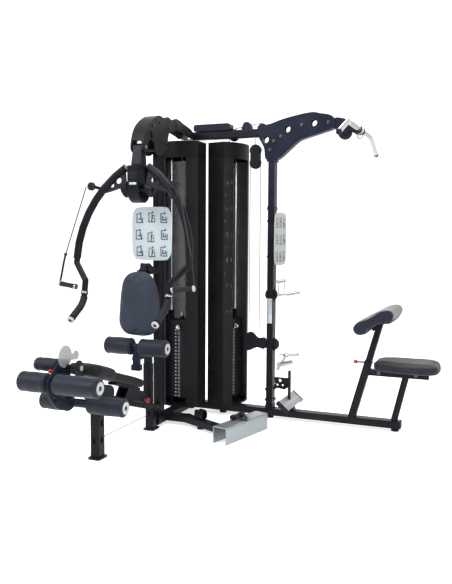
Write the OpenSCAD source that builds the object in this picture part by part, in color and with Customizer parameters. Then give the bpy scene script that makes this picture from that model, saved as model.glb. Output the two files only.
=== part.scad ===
// Multi station home gym: press, leg and fly station, high, middle and low pulleys, and a curl bench.
// Origin: on the floor under the pulley column. +X runs along the base rail to the bench,
// -Y runs along the press station to its user, +Z is up. Millimetres.

/* [Frame] */
// Height of the pulley column's top end
column_top = 1800; // [1700:10:1800]
// Distance from the pulley column back to the press station's middle plane
station_back = 630; // [610:1:650]
// Width of the wide side of the frame tube
tube_wide = 75; // [70:1:80]
// Width of the narrow side of the frame tube
tube_narrow = 50; // [44:1:52]
// Wall thickness of the frame tube
tube_wall = 3; // [2:0.5:4]
// Height of the rails' top face above the floor
rail_top = 70; // [66:1:72]
// Slope of the seat rail in degrees
seat_slope = 17.6; // [16:0.1:19]

/* [Weight stacks] */
// Outside length of a stack tower
tower_long = 310; // [300:2:330]
// Outside width of a stack tower
tower_wide = 240; // [230:2:260]
// Height of the top of the towers
tower_top = 1932; // [1900:1:1940]
// Number of weight plates that stay down in each stack
plate_count = 20; // [16:1:20]
// Thickness of one weight plate
plate_t = 25; // [22:1:26]

/* [Pads] */
// Diameter of the foam rollers
roller_d = 110; // [90:5:115]
// Thickness of the back pad
back_pad_t = 62; // [50:2:70]
// Width of the seat pad at its wide end
seat_w = 220; // [200:10:230]

/* [Hidden] */
$fn = 40;

sx = -station_back;
tw = tube_wide;
tn = tube_narrow;
rail_bottom = 20;
rail_h = rail_top - rail_bottom;
run = 0.3;               // running gap between moving parts
black = [0.10, 0.11, 0.14];
navy = [0.16, 0.19, 0.26];
slate = [0.26, 0.30, 0.38];
silver = [0.74, 0.75, 0.76];
red = [0.70, 0.18, 0.18];

// Press upright
upright_y = -490;
upright_top = 1950;

// Seat rail: local frame at the rail's top line, -Y forward and up the slope
incline_y = -440;
incline_z = 126;
seat_rail_t = 45;
seat_rail_end = 850;

// Leg lever
leg_pivot = [-1490, 572];
knee_axis = [-1600, 500];
ankle_axis = [-1392, 352];
hold_axis = [-1500, 578];
axle_r = 12;
roller_bore = axle_r + 0.4;

// Thigh rollers and back pad
thigh_axis = [-790, 580];
back_hinge = [-672, 1086];
back_front = -790;
back_rear = back_front + back_pad_t;

// Towers
left_tower = [sx, -130];
right_tower = [-350, 60];
right_turn = 76;
shroud_t = 3;
shroud_bottom = rail_top + 12;
header_h = 112;
rod_r = 12.5;
rod_gap = 85;
plate_long = 236;
plate_wide = 104;
plate_foot = 1;          // raised land under each plate
stack_bottom = 122;
stack_top = stack_bottom + plate_count * plate_t;
head_h = 36;
pin_z = stack_top + plate_t / 2 - 2;

// Press head and arms
press_pivot = [-745, 1830];
hub = [-755, 1600];
hub_r = 75;
hub_w = 76;
arm_tilt = 21;
arm_lean = 8.1;
arc_r = 682;
arc_x = -287;
arc_z = 1130;
arc_sweep = 57.6;
arm_r = 24;
arm_top = [-770, 1717];
arm_pulley = [292, -838, 1588];

// Beam, boom and pulleys
beam_bottom = 1963;
beam_top = 2020;
boom_half = 27.5;
boom_t = 6;
high_pulley_at = [500, 0, 1966];
mid_pulley_at = [0, 0, 874];
low_pulley_at = [16, 0, 525];
lat_x = 598;
lat_z = 1978;

// Bench
bench_lean = 15.3;
bench_post_x = 585;
preacher_x = 757;
preacher_z = 706;

// ---------- helpers ----------

// A rounded rectangle with exact corner arcs
module rrect(w, h, r) {
    square([w - 2 * r, h], center = true);
    square([w, h - 2 * r], center = true);
    for (x = [-1, 1], y = [-1, 1])
        translate([x * (w / 2 - r), y * (h / 2 - r)]) circle(r);
}

// A hollow box tube along Z from z = 0, w in X and d in Y
module box_tube(w, d, l) {
    linear_extrude(l) difference() {
        rrect(w, d, 8);
        rrect(w - 2 * tube_wall, d - 2 * tube_wall, 5);
    }
}

// A solid rod from point a to point b
module rod(a, b, r) {
    d = b - a;
    translate(a)
        rotate([0, acos(d[2] / norm(d)), atan2(d[1], d[0])])
            cylinder(r = r, h = norm(d));
}

// A ball with its poles along X
module ball(r) rotate([0, 90, 0]) sphere(r);

// A rod that follows a list of points, with ball corners
module bent_rod(pts, r) {
    for (i = [0 : len(pts) - 2]) rod(pts[i], pts[i + 1], r);
    for (i = [1 : len(pts) - 2]) translate(pts[i]) ball(r);
}

// A 2D outline in Y and Z, extruded along X from x0 to x1
module yz(x0, x1) {
    translate([x0, 0, 0]) rotate([90, 0, 90]) linear_extrude(x1 - x0) children();
}

// A 2D outline in X and Z, extruded along Y from y0 to y1
module xz(y0, y1) {
    translate([0, y1, 0]) rotate([90, 0, 0]) linear_extrude(y1 - y0) children();
}

// A cylinder along X from x0 to x1, at p = [y, z]
module bar_x(p, x0, x1, r) {
    translate([x0, p[0], p[1]]) rotate([0, 90, 0]) cylinder(r = r, h = x1 - x0);
}

// A cylinder along Y from y0 to y1, at p = [x, z]
module bar_y(p, y0, y1, r) {
    translate([p[0], y1, p[1]]) rotate([90, 0, 0]) cylinder(r = r, h = y1 - y0);
}

// The seat rail's own frame
module on_incline() {
    translate([sx, incline_y, incline_z]) rotate([-seat_slope, 0, 0]) children();
}

// A point on a smooth curve through four neighbours
function crom(a, b, c, d, t) =
    0.5 * (2 * b + (c - a) * t + (2 * a - 5 * b + 4 * c - d) * t * t
        + (3 * b - a - 3 * c + d) * t * t * t);

// A closed smooth outline through the points given
function smooth(p, n) = [for (i = [0 : len(p) - 1], j = [0 : n - 1])
    crom(p[(i + len(p) - 1) % len(p)], p[i], p[(i + 1) % len(p)], p[(i + 2) % len(p)], j / n)];

// A grooved pulley about Z, centred
module pulley(r, w, bore) {
    rotate_extrude() difference() {
        translate([bore, -w / 2]) square([r - bore, w]);
        translate([r + 1, 0]) circle(w * 0.36);
        if (r - bore > 30) for (s = [-1, 1])
            translate([(r + bore) / 2 - 2, s * w / 2]) rrect(r - bore - 22, 6, 2);
    }
}

// A foam roller along X from x0 to x1, with rounded ends and a bore
module foam(p, x0, x1, r, edge) {
    translate([(x0 + x1) / 2, p[0], p[1]]) rotate([0, 90, 0]) rotate_extrude() difference() {
        union() {
            translate([0, -(x1 - x0) / 2]) square([r - edge, x1 - x0]);
            translate([0, -(x1 - x0) / 2 + edge]) square([r, x1 - x0 - 2 * edge]);
            for (s = [-1, 1]) translate([r - edge, s * ((x1 - x0) / 2 - edge)]) circle(edge);
        }
        translate([-1, -(x1 - x0)]) square([roller_bore + 1, 2 * (x1 - x0)]);
    }
}

// ---------- base ----------

module base_rail() color(black)
    translate([sx + tw / 2, 0, (rail_top + rail_bottom) / 2]) rotate([0, 90, 0])
        rotate([0, 0, 90]) box_tube(tw, rail_h, 905 - sx - tw / 2);

module station_rail() color(black)
    translate([sx, -565, (rail_top + rail_bottom) / 2]) rotate([-90, 0, 0])
        box_tube(tw, rail_h, 565 + 60);

// Tube from the station rail out to the row footplate, with one bend
module row_outrigger() color(black) {
    difference() {
        union() {
            translate([sx + tw / 2, -410, 45]) rotate([0, 90, 0])
                rotate([0, 0, 90]) linear_extrude(136) rrect(60, 50, 6);
            translate([sx + tw / 2 + 136, -410, 45]) rotate([0, 0, -27]) rotate([0, 90, 0])
                rotate([0, 0, 90]) linear_extrude(368) rrect(60, 50, 6);
            translate([sx + tw / 2 + 136, -410, 20]) cylinder(r = 30, h = 50);
        }
        translate([sx + tw / 2 - 40, -460, 0]) cube([40, 100, 100]);
        footplate_place() translate([-55, -260, 0]) cube([110, 520, 140]);
    }
}

// The frame of the row footplate: local Y along the plate
module footplate_place() {
    translate([-24, -514, 0]) rotate([0, 0, -14]) children();
}

module row_footplate() color(silver)
    footplate_place() xz(-232, 232) difference() {
        translate([0, 55]) rrect(104, 110, 10);
        translate([0, 48]) rrect(92, 110, 6);
        translate([-60, -12]) square([120, 12]);
    }

// Webbing strap with a stiff grip, lying over the footplate's top
module row_strap() color(black) footplate_place() {
    translate([-34, -60, 124.4]) rotate([-90, 0, 0]) cylinder(r = 14, h = 130);
    translate([-32, -40, 111]) cube([72, 30, 5]);
    translate([-32, 24, 111]) cube([72, 30, 5]);
    translate([38, -40, 111]) cube([14, 94, 5]);
}

module feet_and_caps() color([0.06, 0.06, 0.07]) {
    for (p = [[0, 0], [872, 0], [sx, 20], [-360, 0], [-330, -462]])
        translate([p[0], p[1], 0]) {
            cylinder(r = 26, h = 12);
            cylinder(r = 18, h = rail_bottom);
        }
    // End caps of the rails
    translate([905, 0, 45]) rotate([0, 90, 0]) linear_extrude(5) rrect(rail_h, tw, 8);
    translate([sx, 65, 45]) rotate([90, 0, 0]) linear_extrude(5) rrect(tw, rail_h, 8);
    // Rubber bumpers under the stacks
    for (s = [0, 1]) on_tower(s) for (x = [-1, 1]) translate([x * rod_gap, 0, shroud_bottom])
        difference() {
            cylinder(r = 26, h = stack_bottom - shroud_bottom);
            translate([0, 0, -1]) cylinder(r = rod_r + run, h = 60);
        }
}

// The seat rail with the two posts that carry it
module seat_rail() color(black) {
    difference() {
        on_incline() translate([0, -60, -seat_rail_t / 2]) rotate([90, 0, 0])
            box_tube(tn, seat_rail_t, seat_rail_end - 60);
        translate([sx - 50, upright_y - tw / 2, 0]) cube([100, 200, 300]);
    }
    for (y = [-600, -1250]) difference() {
        union() {
            translate([sx, y, 12]) linear_extrude(400) rrect(56, 70, 8);
            translate([sx, y, 0]) linear_extrude(12) rrect(78, 92, 10);
        }
        on_incline() translate([-60, -1000, -seat_rail_t]) cube([120, 1000, 400]);
        // Slots for the floor cable's pulleys
        for (z = (y == -600) ? [92] : [92, 190]) for (x = [0, 1])
            translate([sx - 40 + 60 * x, y - 13, z]) cube([20, 26, 34]);
        translate([sx - 6, y - 50, 92]) cube([12, 100, 34]);
    }
}

// ---------- uprights and top ----------

module press_upright() color(black)
    translate([sx, upright_y, rail_top]) box_tube(tn, tw, upright_top - rail_top);

module column() color(navy) difference() {
    union() {
        translate([0, 0, rail_top]) box_tube(46, tw, column_top - rail_top);
        // Welded collars at the bolted joints
        for (z = [rail_top, 1460]) translate([0, 0, z]) linear_extrude(26) difference() {
            rrect(54, tw + 8, 10);
            rrect(46, tw, 8);
        }
        translate([0, 0, column_top - 8]) linear_extrude(8) rrect(70, tw + 10, 10);
    }
    // Windows for the middle and low pulleys
    translate([-40, -11, mid_pulley_at[2] - 48]) cube([80, 22, 96]);
    translate([-40, -11, low_pulley_at[2] - 48]) cube([80, 22, 96]);
}

module top_beam() color(black) {
    translate([sx + tw / 2, 0, (beam_bottom + beam_top) / 2]) rotate([0, 90, 0])
        rotate([0, 0, 90]) box_tube(50, beam_top - beam_bottom, -sx - tw / 2 - 106);
    translate([sx, -60, (beam_bottom + beam_top) / 2]) rotate([-90, 0, 0])
        box_tube(tw, beam_top - beam_bottom, 98);
}

module beam_covers() color(navy) {
    // Long cover over the guide pulleys
    difference() {
        xz(-36, 36) difference() {
            translate([-447, beam_top + 24]) rrect(278, 48, 16);
            translate([-600, beam_top - 20]) square([300, 20]);
        }
        translate([-560, -29, beam_top - 1]) cube([226, 58, 36]);
    }
    // Small round cover
    xz(-18, 18) difference() {
        union() {
            translate([-190, beam_top + 22]) circle(30);
            translate([-226, beam_top]) square([72, 20]);
        }
        translate([-250, beam_top - 40]) square([120, 40]);
    }
}

// The side outline of the press station's top bracket
module arch_outline() difference() {
    union() {
        polygon(smooth([[-775, 1815], [-768, 1880], [-728, 1955], [-655, 2012], [-570, 2050],
            [-500, 2046], [-440, 2060], [-380, 2050], [-310, 2068], [-200, 2050], [-60, 2020],
            [-60, 1968], [-210, 1984], [-330, 1994], [-420, 1960], [-450, 1880], [-490, 1822],
            [-560, 1796], [-612, 1822], [-640, 1880], [-690, 1880], [-718, 1840], [-735, 1798]], 6));
        translate(press_pivot) circle(30);
    }
    // Window near the pivot
    translate([-672, 1916]) rotate(38) rrect(30, 58, 14);
    translate([-560, 2004]) circle(9);
    translate([-440, 2022]) circle(9);
}

module press_top_plates() color([0.22, 0.21, 0.21]) {
    for (s = [-1, 1]) yz(sx + s * (tw / 2 + 4) - 4, sx + s * (tw / 2 + 4) + 4) difference() {
        arch_outline();
        translate(press_pivot) circle(10);
    }
    // Curved front strip between the plates
    yz(sx - tw / 2, sx + tw / 2) difference() {
        intersection() {
            arch_outline();
            polygon([[-800, 1875], [-760, 2060], [-520, 2090], [-520, 2030], [-600, 2022],
                [-680, 1975], [-725, 1900], [-745, 1868]]);
        }
        translate([-572, 1948]) circle(92);
    }
    // Spacer tubes
    for (p = [[-420, 2010], [-300, 2030], [-590, 1830]])
        bar_x(p, sx - tw / 2, sx + tw / 2, 11);
    // Pivot pin of the press head
    bar_x(press_pivot, sx - tw / 2 - 14, sx + tw / 2 + 14, 10);
}

boom_pts = [[-105, 2034], [-20, 2046], [90, 2078], [258, 2108], [340, 2098], [418, 2074], [436, 2004],
    [350, 1972], [262, 1948], [190, 1924], [120, 1868], [40, 1806], [-40, 1806], [-58, 1890],
    [-98, 1964]];

module boom_outline() difference() {
    intersection() {
        polygon(smooth(boom_pts, 6));
        translate([-106, column_top]) square([544, 320]);
    }
    for (p = [[-45, 1942], [108, 2006], [292, 2038]]) translate(p) circle(22.5);
}

// Two side plates with a rim between them, and the nose with the pulley fork and bar hooks
module boom() color(navy) {
    for (s = [-1, 1])
        xz(s * (boom_half - boom_t / 2) - boom_t / 2, s * (boom_half - boom_t / 2) + boom_t / 2)
            boom_outline();
    xz(-boom_half + boom_t, boom_half - boom_t) difference() {
        boom_outline();
        polygon([[-110, 1975], [-66, 1960], [-20, 1822], [30, 1822], [112, 1884], [184, 1940],
            [350, 1988], [422, 2014], [408, 2058], [258, 2092], [90, 2062], [0, 2036], [-110, 2022]]);
        translate([-120, 1984]) square([84, 80]);
    }
    nose();
}

module nose() {
    // Fork of the high pulley
    for (s = [-1, 1]) xz(s * 17 - 3, s * 17 + 3) difference() {
        polygon(smooth([[430, 2062], [500, 2054], [560, 2022], [566, 1998], [530, 1972],
            [500, 1946], [472, 1960], [430, 2000]], 5));
        translate([high_pulley_at[0], high_pulley_at[2]]) circle(7);
    }
    bar_y([high_pulley_at[0], high_pulley_at[2]], -24, 24, 7);
    xz(-14, 14) polygon([[437, 2016], [437, 2056], [474, 2056], [474, 2030]]);
    // Cross arm and two hooks that hold the lat bar
    xz(-60, 60) polygon([[552, 2004], [558, 2024], [570, 2020], [564, 2000]]);
    for (s = [-1, 1]) xz(s * 48 - 7, s * 48 + 7) difference() {
        translate([lat_x - 10, lat_z]) rrect(64, 54, 20);
        translate([lat_x, lat_z]) circle(17.5);
        translate([lat_x - 17.5, lat_z]) square([35, 60]);
        translate([lat_x - 60, lat_z + 22]) square([42, 60]);
    }
}

// ---------- weight towers ----------

// Puts its children on tower 0 (left, opening to the front) or 1 (right, opening to the bench)
module on_tower(i) {
    p = (i == 0) ? left_tower : right_tower;
    translate([p[0], p[1], 0]) rotate([0, 0, (i == 0) ? 0 : right_turn]) children();
}

// A tower's rounded outline, smaller by d on every side
module tower_outline(d) {
    intersection() {
        translate([0, 260 - tower_wide / 2]) circle(260 - d, $fn = 96);
        translate([0, tower_wide / 2 - 260]) circle(260 - d, $fn = 96);
        rrect(tower_long - 2 * d, tower_wide, 60 - d);
    }
}

module shroud(i, open_half) color([0.15, 0.15, 0.16]) on_tower(i) translate([0, 0, shroud_bottom])
    linear_extrude(tower_top - header_h - shroud_bottom) difference() {
        tower_outline(0);
        tower_outline(shroud_t);
        translate([-open_half, -tower_wide]) square([2 * open_half, tower_wide]);
    }

module left_shroud() shroud(0, 80);
module right_shroud() shroud(1, 88);

// Base plates, header bands and top plates of the towers
module tower_plates() color([0.07, 0.07, 0.08]) for (i = [0, 1]) on_tower(i) {
    translate([0, 0, rail_top]) linear_extrude(shroud_bottom - rail_top) tower_outline(0);
    translate([0, 0, tower_top - header_h]) linear_extrude(header_h - 8) difference() {
        tower_outline(0);
        tower_outline(4);
    }
    translate([0, 0, tower_top - 8]) linear_extrude(8) difference() {
        tower_outline(0);
        circle(9);
    }
    // Cross plate that the guide rods end in
    translate([0, 0, tower_top - 60]) linear_extrude(10) difference() {
        intersection() {
            tower_outline(4);
            square([tower_long, 70], center = true);
        }
        for (x = [-1, 1]) translate([x * rod_gap, 0]) circle(rod_r);
        circle(9);
    }
}

module guide_rods() color(silver) for (i = [0, 1]) on_tower(i) for (x = [-1, 1])
    translate([x * rod_gap, 0, shroud_bottom])
        cylinder(r = rod_r, h = tower_top - 44 - shroud_bottom);

// One weight plate with its guide holes, selector hole and pin hole
module weight_plate(h) difference() {
    union() {
        translate([0, 0, plate_foot]) linear_extrude(h - plate_foot) rrect(plate_long, plate_wide, 8);
        linear_extrude(h) rrect(plate_long - 30, plate_wide - 30, 8);
    }
    for (x = [-1, 1]) translate([x * rod_gap, 0, -1]) cylinder(r = rod_r + 1, h = h + 2);
    translate([0, 0, -1]) cylinder(r = 14, h = h + 2);
    translate([0, 0, h / 2]) rotate([90, 0, 0]) cylinder(r = 6, h = plate_wide);
}

module weight_plates(i) color([0.12, 0.12, 0.14]) on_tower(i)
    for (k = [0 : plate_count - 1]) translate([0, 0, stack_bottom + k * plate_t])
        weight_plate(plate_t);

module left_weight_plates() weight_plates(0);
module right_weight_plates() weight_plates(1);

// The head plate with the plate under it and the selector rod
module stack_head(i) color([0.12, 0.12, 0.14]) on_tower(i) {
    translate([0, 0, stack_top]) difference() {
        union() {
            translate([0, 0, plate_foot]) linear_extrude(plate_t - plate_foot)
                rrect(plate_long, plate_wide, 8);
            linear_extrude(plate_t) rrect(plate_long - 30, plate_wide - 30, 8);
            translate([0, 0, plate_t]) linear_extrude(head_h) rrect(plate_long - 20, plate_wide, 8);
            translate([0, 0, plate_t + head_h]) cylinder(r = 16, h = 22);
            for (x = [-1, 1]) translate([x * rod_gap, 0, plate_t + head_h]) cylinder(r = 20, h = 26);
        }
        for (x = [-1, 1]) translate([x * rod_gap, 0, -1])
            cylinder(r = rod_r + run, h = plate_t + head_h + 40);
        translate([0, 0, pin_z - stack_top]) rotate([90, 0, 0]) cylinder(r = 5.3, h = plate_wide);
    }
    translate([0, 0, stack_bottom + 10]) cylinder(r = 11, h = stack_top - stack_bottom - 10);
}

module left_stack_head() stack_head(0);
module right_stack_head() stack_head(1);

// Selector pin: a shank with a round knob
module selector_pin(i) color([0.85, 0.85, 0.86]) on_tower(i)
    translate([0, 0, pin_z]) rotate([90, 0, 0]) {
        translate([0, 0, 14]) cylinder(r = 5, h = plate_wide / 2 + 10);
        translate([0, 0, plate_wide / 2 + 6]) cylinder(r = 15, h = 9);
        translate([0, 0, plate_wide / 2 + 15]) cylinder(r = 9, h = 16);
    }

module left_pin() selector_pin(0);
module right_pin() selector_pin(1);

// The stretch of lifting cable above each head plate
module lift_cable(i) color([0.7, 0.7, 0.7]) on_tower(i)
    translate([0, 0, stack_top + plate_t + head_h + 22])
        cylinder(r = 3, h = 1985 - stack_top - plate_t - head_h - 22);

module left_lift_cable() lift_cable(0);
module right_lift_cable() lift_cable(1);

// ---------- panels, cables, pulley blocks ----------

// A barrel-shaped sheet outline
module barrel(w, h) polygon(smooth([[-w / 2, -h * 0.28], [-w / 2, h * 0.28], [-w * 0.44, h * 0.45],
    [-w * 0.3, h / 2], [w * 0.3, h / 2], [w * 0.44, h * 0.45], [w / 2, h * 0.28], [w / 2, -h * 0.28],
    [w * 0.44, -h * 0.45], [w * 0.3, -h / 2], [-w * 0.3, -h / 2], [-w * 0.44, -h * 0.45]], 5));

// Two exercise placards and the clear guard over the leg cam
module acrylic_panels() color([0.78, 0.84, 0.87]) {
    translate([sx, 0, 1294]) xz(-588, -584) barrel(285, 343);
    translate([0, 0, 1262]) yz(58, 62) barrel(262, 358);
    yz(sx - 36, sx - 32) difference() {
        union() {
            translate([-1506, 632]) circle(60);
            translate([-1406, 624]) circle(26);
            translate([-1500, 602]) square([90, 36]);
        }
        translate(leg_pivot) circle(14);
    }
}

module guide_cables() color([0.7, 0.7, 0.7]) {
    // Floor cable between the foot posts
    rod([sx, -1208, 108], [sx, -642, 108], 2.5);
    // Cables beside the column
    rod([-157, -22, 1786], [-157, -22, 536], 2.5);
    rod([-81, -22, 1786], [-81, -22, 600], 2.5);
    rod([-119, -22, 1912], [-119, -22, 1962], 2.5);
    // Along the beam to the boom
    rod([-300, 47.5, 2038.5], [-82, -7, 2060], 2.5);
    // Over the press station
    rod([sx, -182, 2042.5], [sx, -380, 2046], 2.5);
}

// A pair of rounded plates with pulleys between them, in the X-Z plane
module pulley_block(pts, r, y) {
    for (s = [-1, 1]) xz(y + s * 15 - 2.5, y + s * 15 + 2.5) {
        hull() for (p = pts) translate(p) circle(r * 0.82, $fn = 32);
    }
    for (p = pts) {
        translate([p[0], y, p[1]]) rotate([90, 0, 0]) pulley(r, 20, 6);
        bar_y(p, y - 20, y + 20, 6);
    }
}

module pulley_blocks() color(black) {
    // Floating block beside the column
    pulley_block([[-119, 1786], [-119, 1872]], 41, -22);
    // Bracket of the low pulley, on the column's back
    for (s = [-1, 1]) xz(-22 + s * 15 - 2.5, -22 + s * 15 + 2.5) difference() {
        polygon(smooth([[-160, 600], [-190, 560], [-182, 488], [-150, 474], [-90, 500], [-36, 494],
            [-36, 566], [-90, 566], [-130, 600]], 5));
        translate([-146, 536]) circle(6);
    }
    translate([-44, -39.5, 500]) cube([21, 10, 60]);
    translate([-146, -22, 536]) rotate([90, 0, 0]) pulley(30, 20, 6);
    bar_y([-146, 536], -42, -2, 6);
    // Pulley in the boom's top
    translate([-76, -6, 2022]) rotate([90, 0, 0]) pulley(34, 14, 6);
    bar_y([-76, 2022], -21.5, 21.5, 6);
    // Stack pulley of the right tower, beside the beam
    translate([-306, 49, 1993]) rotate([90, 0, -14]) pulley(43, 14, 6);
    translate([-306, 49, 1993]) rotate([90, 0, -14]) translate([0, 0, -20]) cylinder(r = 6, h = 28);
    // Stack pulley of the left tower, between the arch plates
    translate([sx, -176, 1997]) rotate([90, 0, 90]) pulley(43, 18, 6);
    bar_x([-176, 1997], sx - tw / 2, sx + tw / 2, 6);
    // Bracket on the row outrigger, with a low pulley
    translate([-330, -468, 0]) rotate([0, 0, -27]) for (s = [-1, 1]) xz(s * 18 - 3, s * 18 + 3)
        difference() {
            translate([0, 100]) rrect(84, 60, 22);
            translate([0, 108]) circle(7);
        }
    translate([-330, -468, 108]) rotate([90, 0, -27]) pulley(24, 20, 6);
    translate([-330, -468, 108]) rotate([90, 0, -27]) translate([0, 0, -22]) cylinder(r = 6, h = 44);
}

// ---------- column fittings ----------

// Tilted tread plate beside the column, with the stand that carries it
module column_footplate() color([0.68, 0.69, 0.70]) {
    translate([150, 0, 132]) rotate([0, 40, 0]) {
        xz(-176, 176) rrect(92, 8, 3);
        for (s = [-1, 1]) xz(s * 180 - 4, s * 180 + 4) translate([0, -8]) rrect(100, 30, 8);
    }
    // Foot of the tread
    xz(-26, 26) polygon([[120, rail_top], [182, rail_top], [172, 110], [128, 147]]);
    // Strip that rises from the tread
    translate([132, -12, 134]) cube([16, 24, 211]);
    // Shaped plate with three holes between the column and the strip
    xz(-3, 3) difference() {
        polygon([[23, 212], [36, 246], [28, 292], [134, 292], [134, 226], [104, 208], [64, 214]]);
        translate([72, 270]) circle(10);
        for (x = [-1, 1]) translate([72 + x * 19, 238]) circle(7);
    }
}

// ---------- bench ----------

module bench_frame() color(black) {
    // Leaning post: outer tube with a bore for the sliding post
    difference() {
        translate([bench_post_x, 0, rail_top]) rotate([0, bench_lean, 0]) translate([0, 0, -30])
            linear_extrude(430) difference() {
                rrect(tn, 60, 8);
                rrect(42, 52, 5);
            }
        translate([bench_post_x - 100, -50, 0]) cube([260, 100, rail_top]);
    }
    // Rear post
    difference() {
        rod([858, 0, 40], [932, 0, 362], 22);
        translate([760, -50, 0]) cube([200, 100, rail_top]);
    }
    // Seat bar from the leaning post to the seat
    difference() {
        xz(-25, 25) polygon([[640, 368], [700, 362], [1080, 362], [1080, 402], [700, 402],
            [660, 408]]);
        translate([bench_post_x, 0, rail_top]) rotate([0, bench_lean, 0]) translate([0, 0, -30])
            linear_extrude(480) rrect(tn, 60, 8);
    }
    // Mounting plate under the seat pad
    translate([780, -90, 402]) cube([290, 180, 5]);
}

module bench_seat() color([0.25, 0.25, 0.27])
    translate([0, 0, 407]) linear_extrude(68)
        polygon(smooth([[734, -80], [734, 80], [806, 128], [930, 150], [1080, 146], [1146, 100],
            [1152, 0], [1146, -100], [1080, -146], [930, -150], [806, -128]], 4));

// A hex bolt head with a washer, along X (side = 1 or -1)
module bolt_x(p, side) translate(p) rotate([0, side * 90, 0]) {
    cylinder(r = 12, h = 2.5);
    cylinder(r = 9, h = 9, $fn = 6);
}

module bolt_y(p, side) translate(p) rotate([side * -90, 0, 0]) {
    cylinder(r = 12, h = 2.5);
    cylinder(r = 9, h = 9, $fn = 6);
}

module bolts() color([0.5, 0.5, 0.52]) {
    for (s = [-1, 1]) {
        // Boom
        for (p = [[-12, 1872], [14, 1930], [64, 1960], [210, 2028], [392, 2036]])
            bolt_y([p[0], s * boom_half, p[1]], s);
        // Press station's top bracket
        for (p = [[-640, 1975], [-520, 1900], [-420, 1990], [-300, 2030], [-120, 1992], [-480, 1850]])
            bolt_x([sx + s * (tw / 2 + 8), p[0], p[1]], s);
        // Column foot and seat rail
        for (z = [130, 205]) bolt_x([s * 23, s * 24, z], s);
        on_incline() bolt_x([s * tn / 2, -130, -22], s);
    }
    bolt_y([760, -25, 384], -1);
    bolt_y([1000, -25, 384], -1);
}

// ---------- press head and arms ----------

// Turns a point or shape into the plane that the arms lie in
module arm_plane() translate([0, arm_top[0], arm_top[1]]) rotate([-arm_lean, 0, 0])
    translate([0, 0, -arm_top[1]]) children();

// Neck, hub band and the two tilted stub axles
module press_head() color(black) {
    difference() {
        union() {
            // Neck with its pivot barrel
            hull() {
                bar_x([-745, 1830], sx - 30, sx + 30, 24, $fn = 32);
                translate([sx - 34, -790, 1712]) cube([68, 74, 10]);
            }
            bar_x(press_pivot, sx - 36.5, sx + 36.5, 24);
        }
        bar_x(press_pivot, sx - 60, sx + 60, 10 + run);
    }
    // Band round the hub
    yz(sx - hub_w / 2, sx + hub_w / 2) difference() {
        union() {
            translate(hub - [0, 40]) circle(hub_r);
            translate([hub[0] - hub_r, hub[1] - 40]) square([2 * hub_r, 152]);
        }
        translate(hub - [0, 40]) circle(hub_r - 8);
        translate([hub[0] - hub_r + 8, hub[1] - 40]) square([2 * hub_r - 16, 144]);
    }
    // Hub core and stub axles
    bar_x(hub, sx - 24, sx + 24, 44);
    bar_x([hub[0], hub[1] + 60], sx - 20, sx + 20, 54);
    for (s = [-1, 1]) translate([sx, hub[0], hub[1]]) rotate([0, s * (90 + arm_tilt), 0])
        cylinder(r = 15, h = 118);
}

// The right press arm; the left one is its mirror image
module press_arm() {
    // Barrel on the stub axle
    difference() {
        translate([0, hub[0], hub[1]]) rotate([0, 90 + arm_tilt, 0]) translate([0, 0, 66])
            cylinder(r = 46, h = 44);
        translate([0, hub[0], hub[1]]) rotate([0, 90 + arm_tilt, 0])
            cylinder(r = 15 + run, h = 140);
    }
    arm_plane() {
        // Curved tube
        translate([arc_x, 0, arc_z]) rotate([90, 0, 0]) rotate_extrude(angle = arc_sweep)
            translate([arc_r, 0]) circle(arm_r);
        // Web between the barrel and the tube
        xz(-4, 4) difference() {
            polygon(concat([[66, 1590], [78, 1672], [86, 1694]],
                [for (a = [54 : -4 : 38]) [arc_x + (arc_r - 16) * cos(a),
                    arc_z + (arc_r - 16) * sin(a)]], [[170, 1556], [118, 1572]]));
            translate([124, 1622]) circle(19);
            translate([168, 1592]) circle(12);
        }
    }
    // Handle tube
    bent_rod([[394.6, -850, 1155], [394, -857, 1105], [296, -910, 1000], [294, -930, 900],
        [292, -962, 848]], 19);
    translate([292, -962, 848]) ball(19);
    rod([292, -962, 848], [289, -1077, 775], 17);
    translate([289, -1077, 775]) ball(19.5);
    rod([294, -923, 934], [294, -927, 914], 22);
    // Bracket and axle of the arm pulley
    rod([234, -796, 1572], [arm_pulley[0], -812, arm_pulley[2]], 10);
    bar_y([arm_pulley[0], arm_pulley[2]], -820, -804, 13);
    translate([arm_pulley[0], arm_pulley[1] + 24, arm_pulley[2]]) rotate([90, 0, 0])
        cylinder(r = 6, h = 38);
}

module right_press_arm() color(navy) translate([sx, 0, 0]) press_arm();
module left_press_arm() color(navy) translate([sx, 0, 0]) mirror([1, 0, 0]) press_arm();

module arm_pulley_part() translate([sx, 0, 0])
    translate(arm_pulley) rotate([90, 0, 0]) pulley(26, 16, 6 + run);

module right_arm_pulley() color(black) arm_pulley_part();
module left_arm_pulley() color(black) translate([2 * sx, 0, 0]) mirror([1, 0, 0]) arm_pulley_part();

// Fly handle: cable, webbing and a grip with round ends
module fly_handle() translate([sx, 0, 0]) {
    rod([arm_pulley[0] + 30, arm_pulley[1] - 14, arm_pulley[2] - 4], [438, -916, 1160], 2.5);
    translate([438, -916, 1150]) cylinder(r = 9, h = 20);
    rod([438, -916, 1155], [468, -936, 984], 4);
    rod([468, -936, 976], [334, -962, 962], 15);
    for (e = [[[482, -933.3, 977.5], [458, -937.9, 975], 19], [[346, -959.7, 963.3],
        [322, -964.3, 960.7], 17]]) rod(e[0], e[1], e[2]);
}

module right_fly_handle() color(silver) fly_handle();
module left_fly_handle() color(silver) translate([2 * sx, 0, 0]) mirror([1, 0, 0]) fly_handle();

// ---------- seat, pads, rollers ----------

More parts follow.
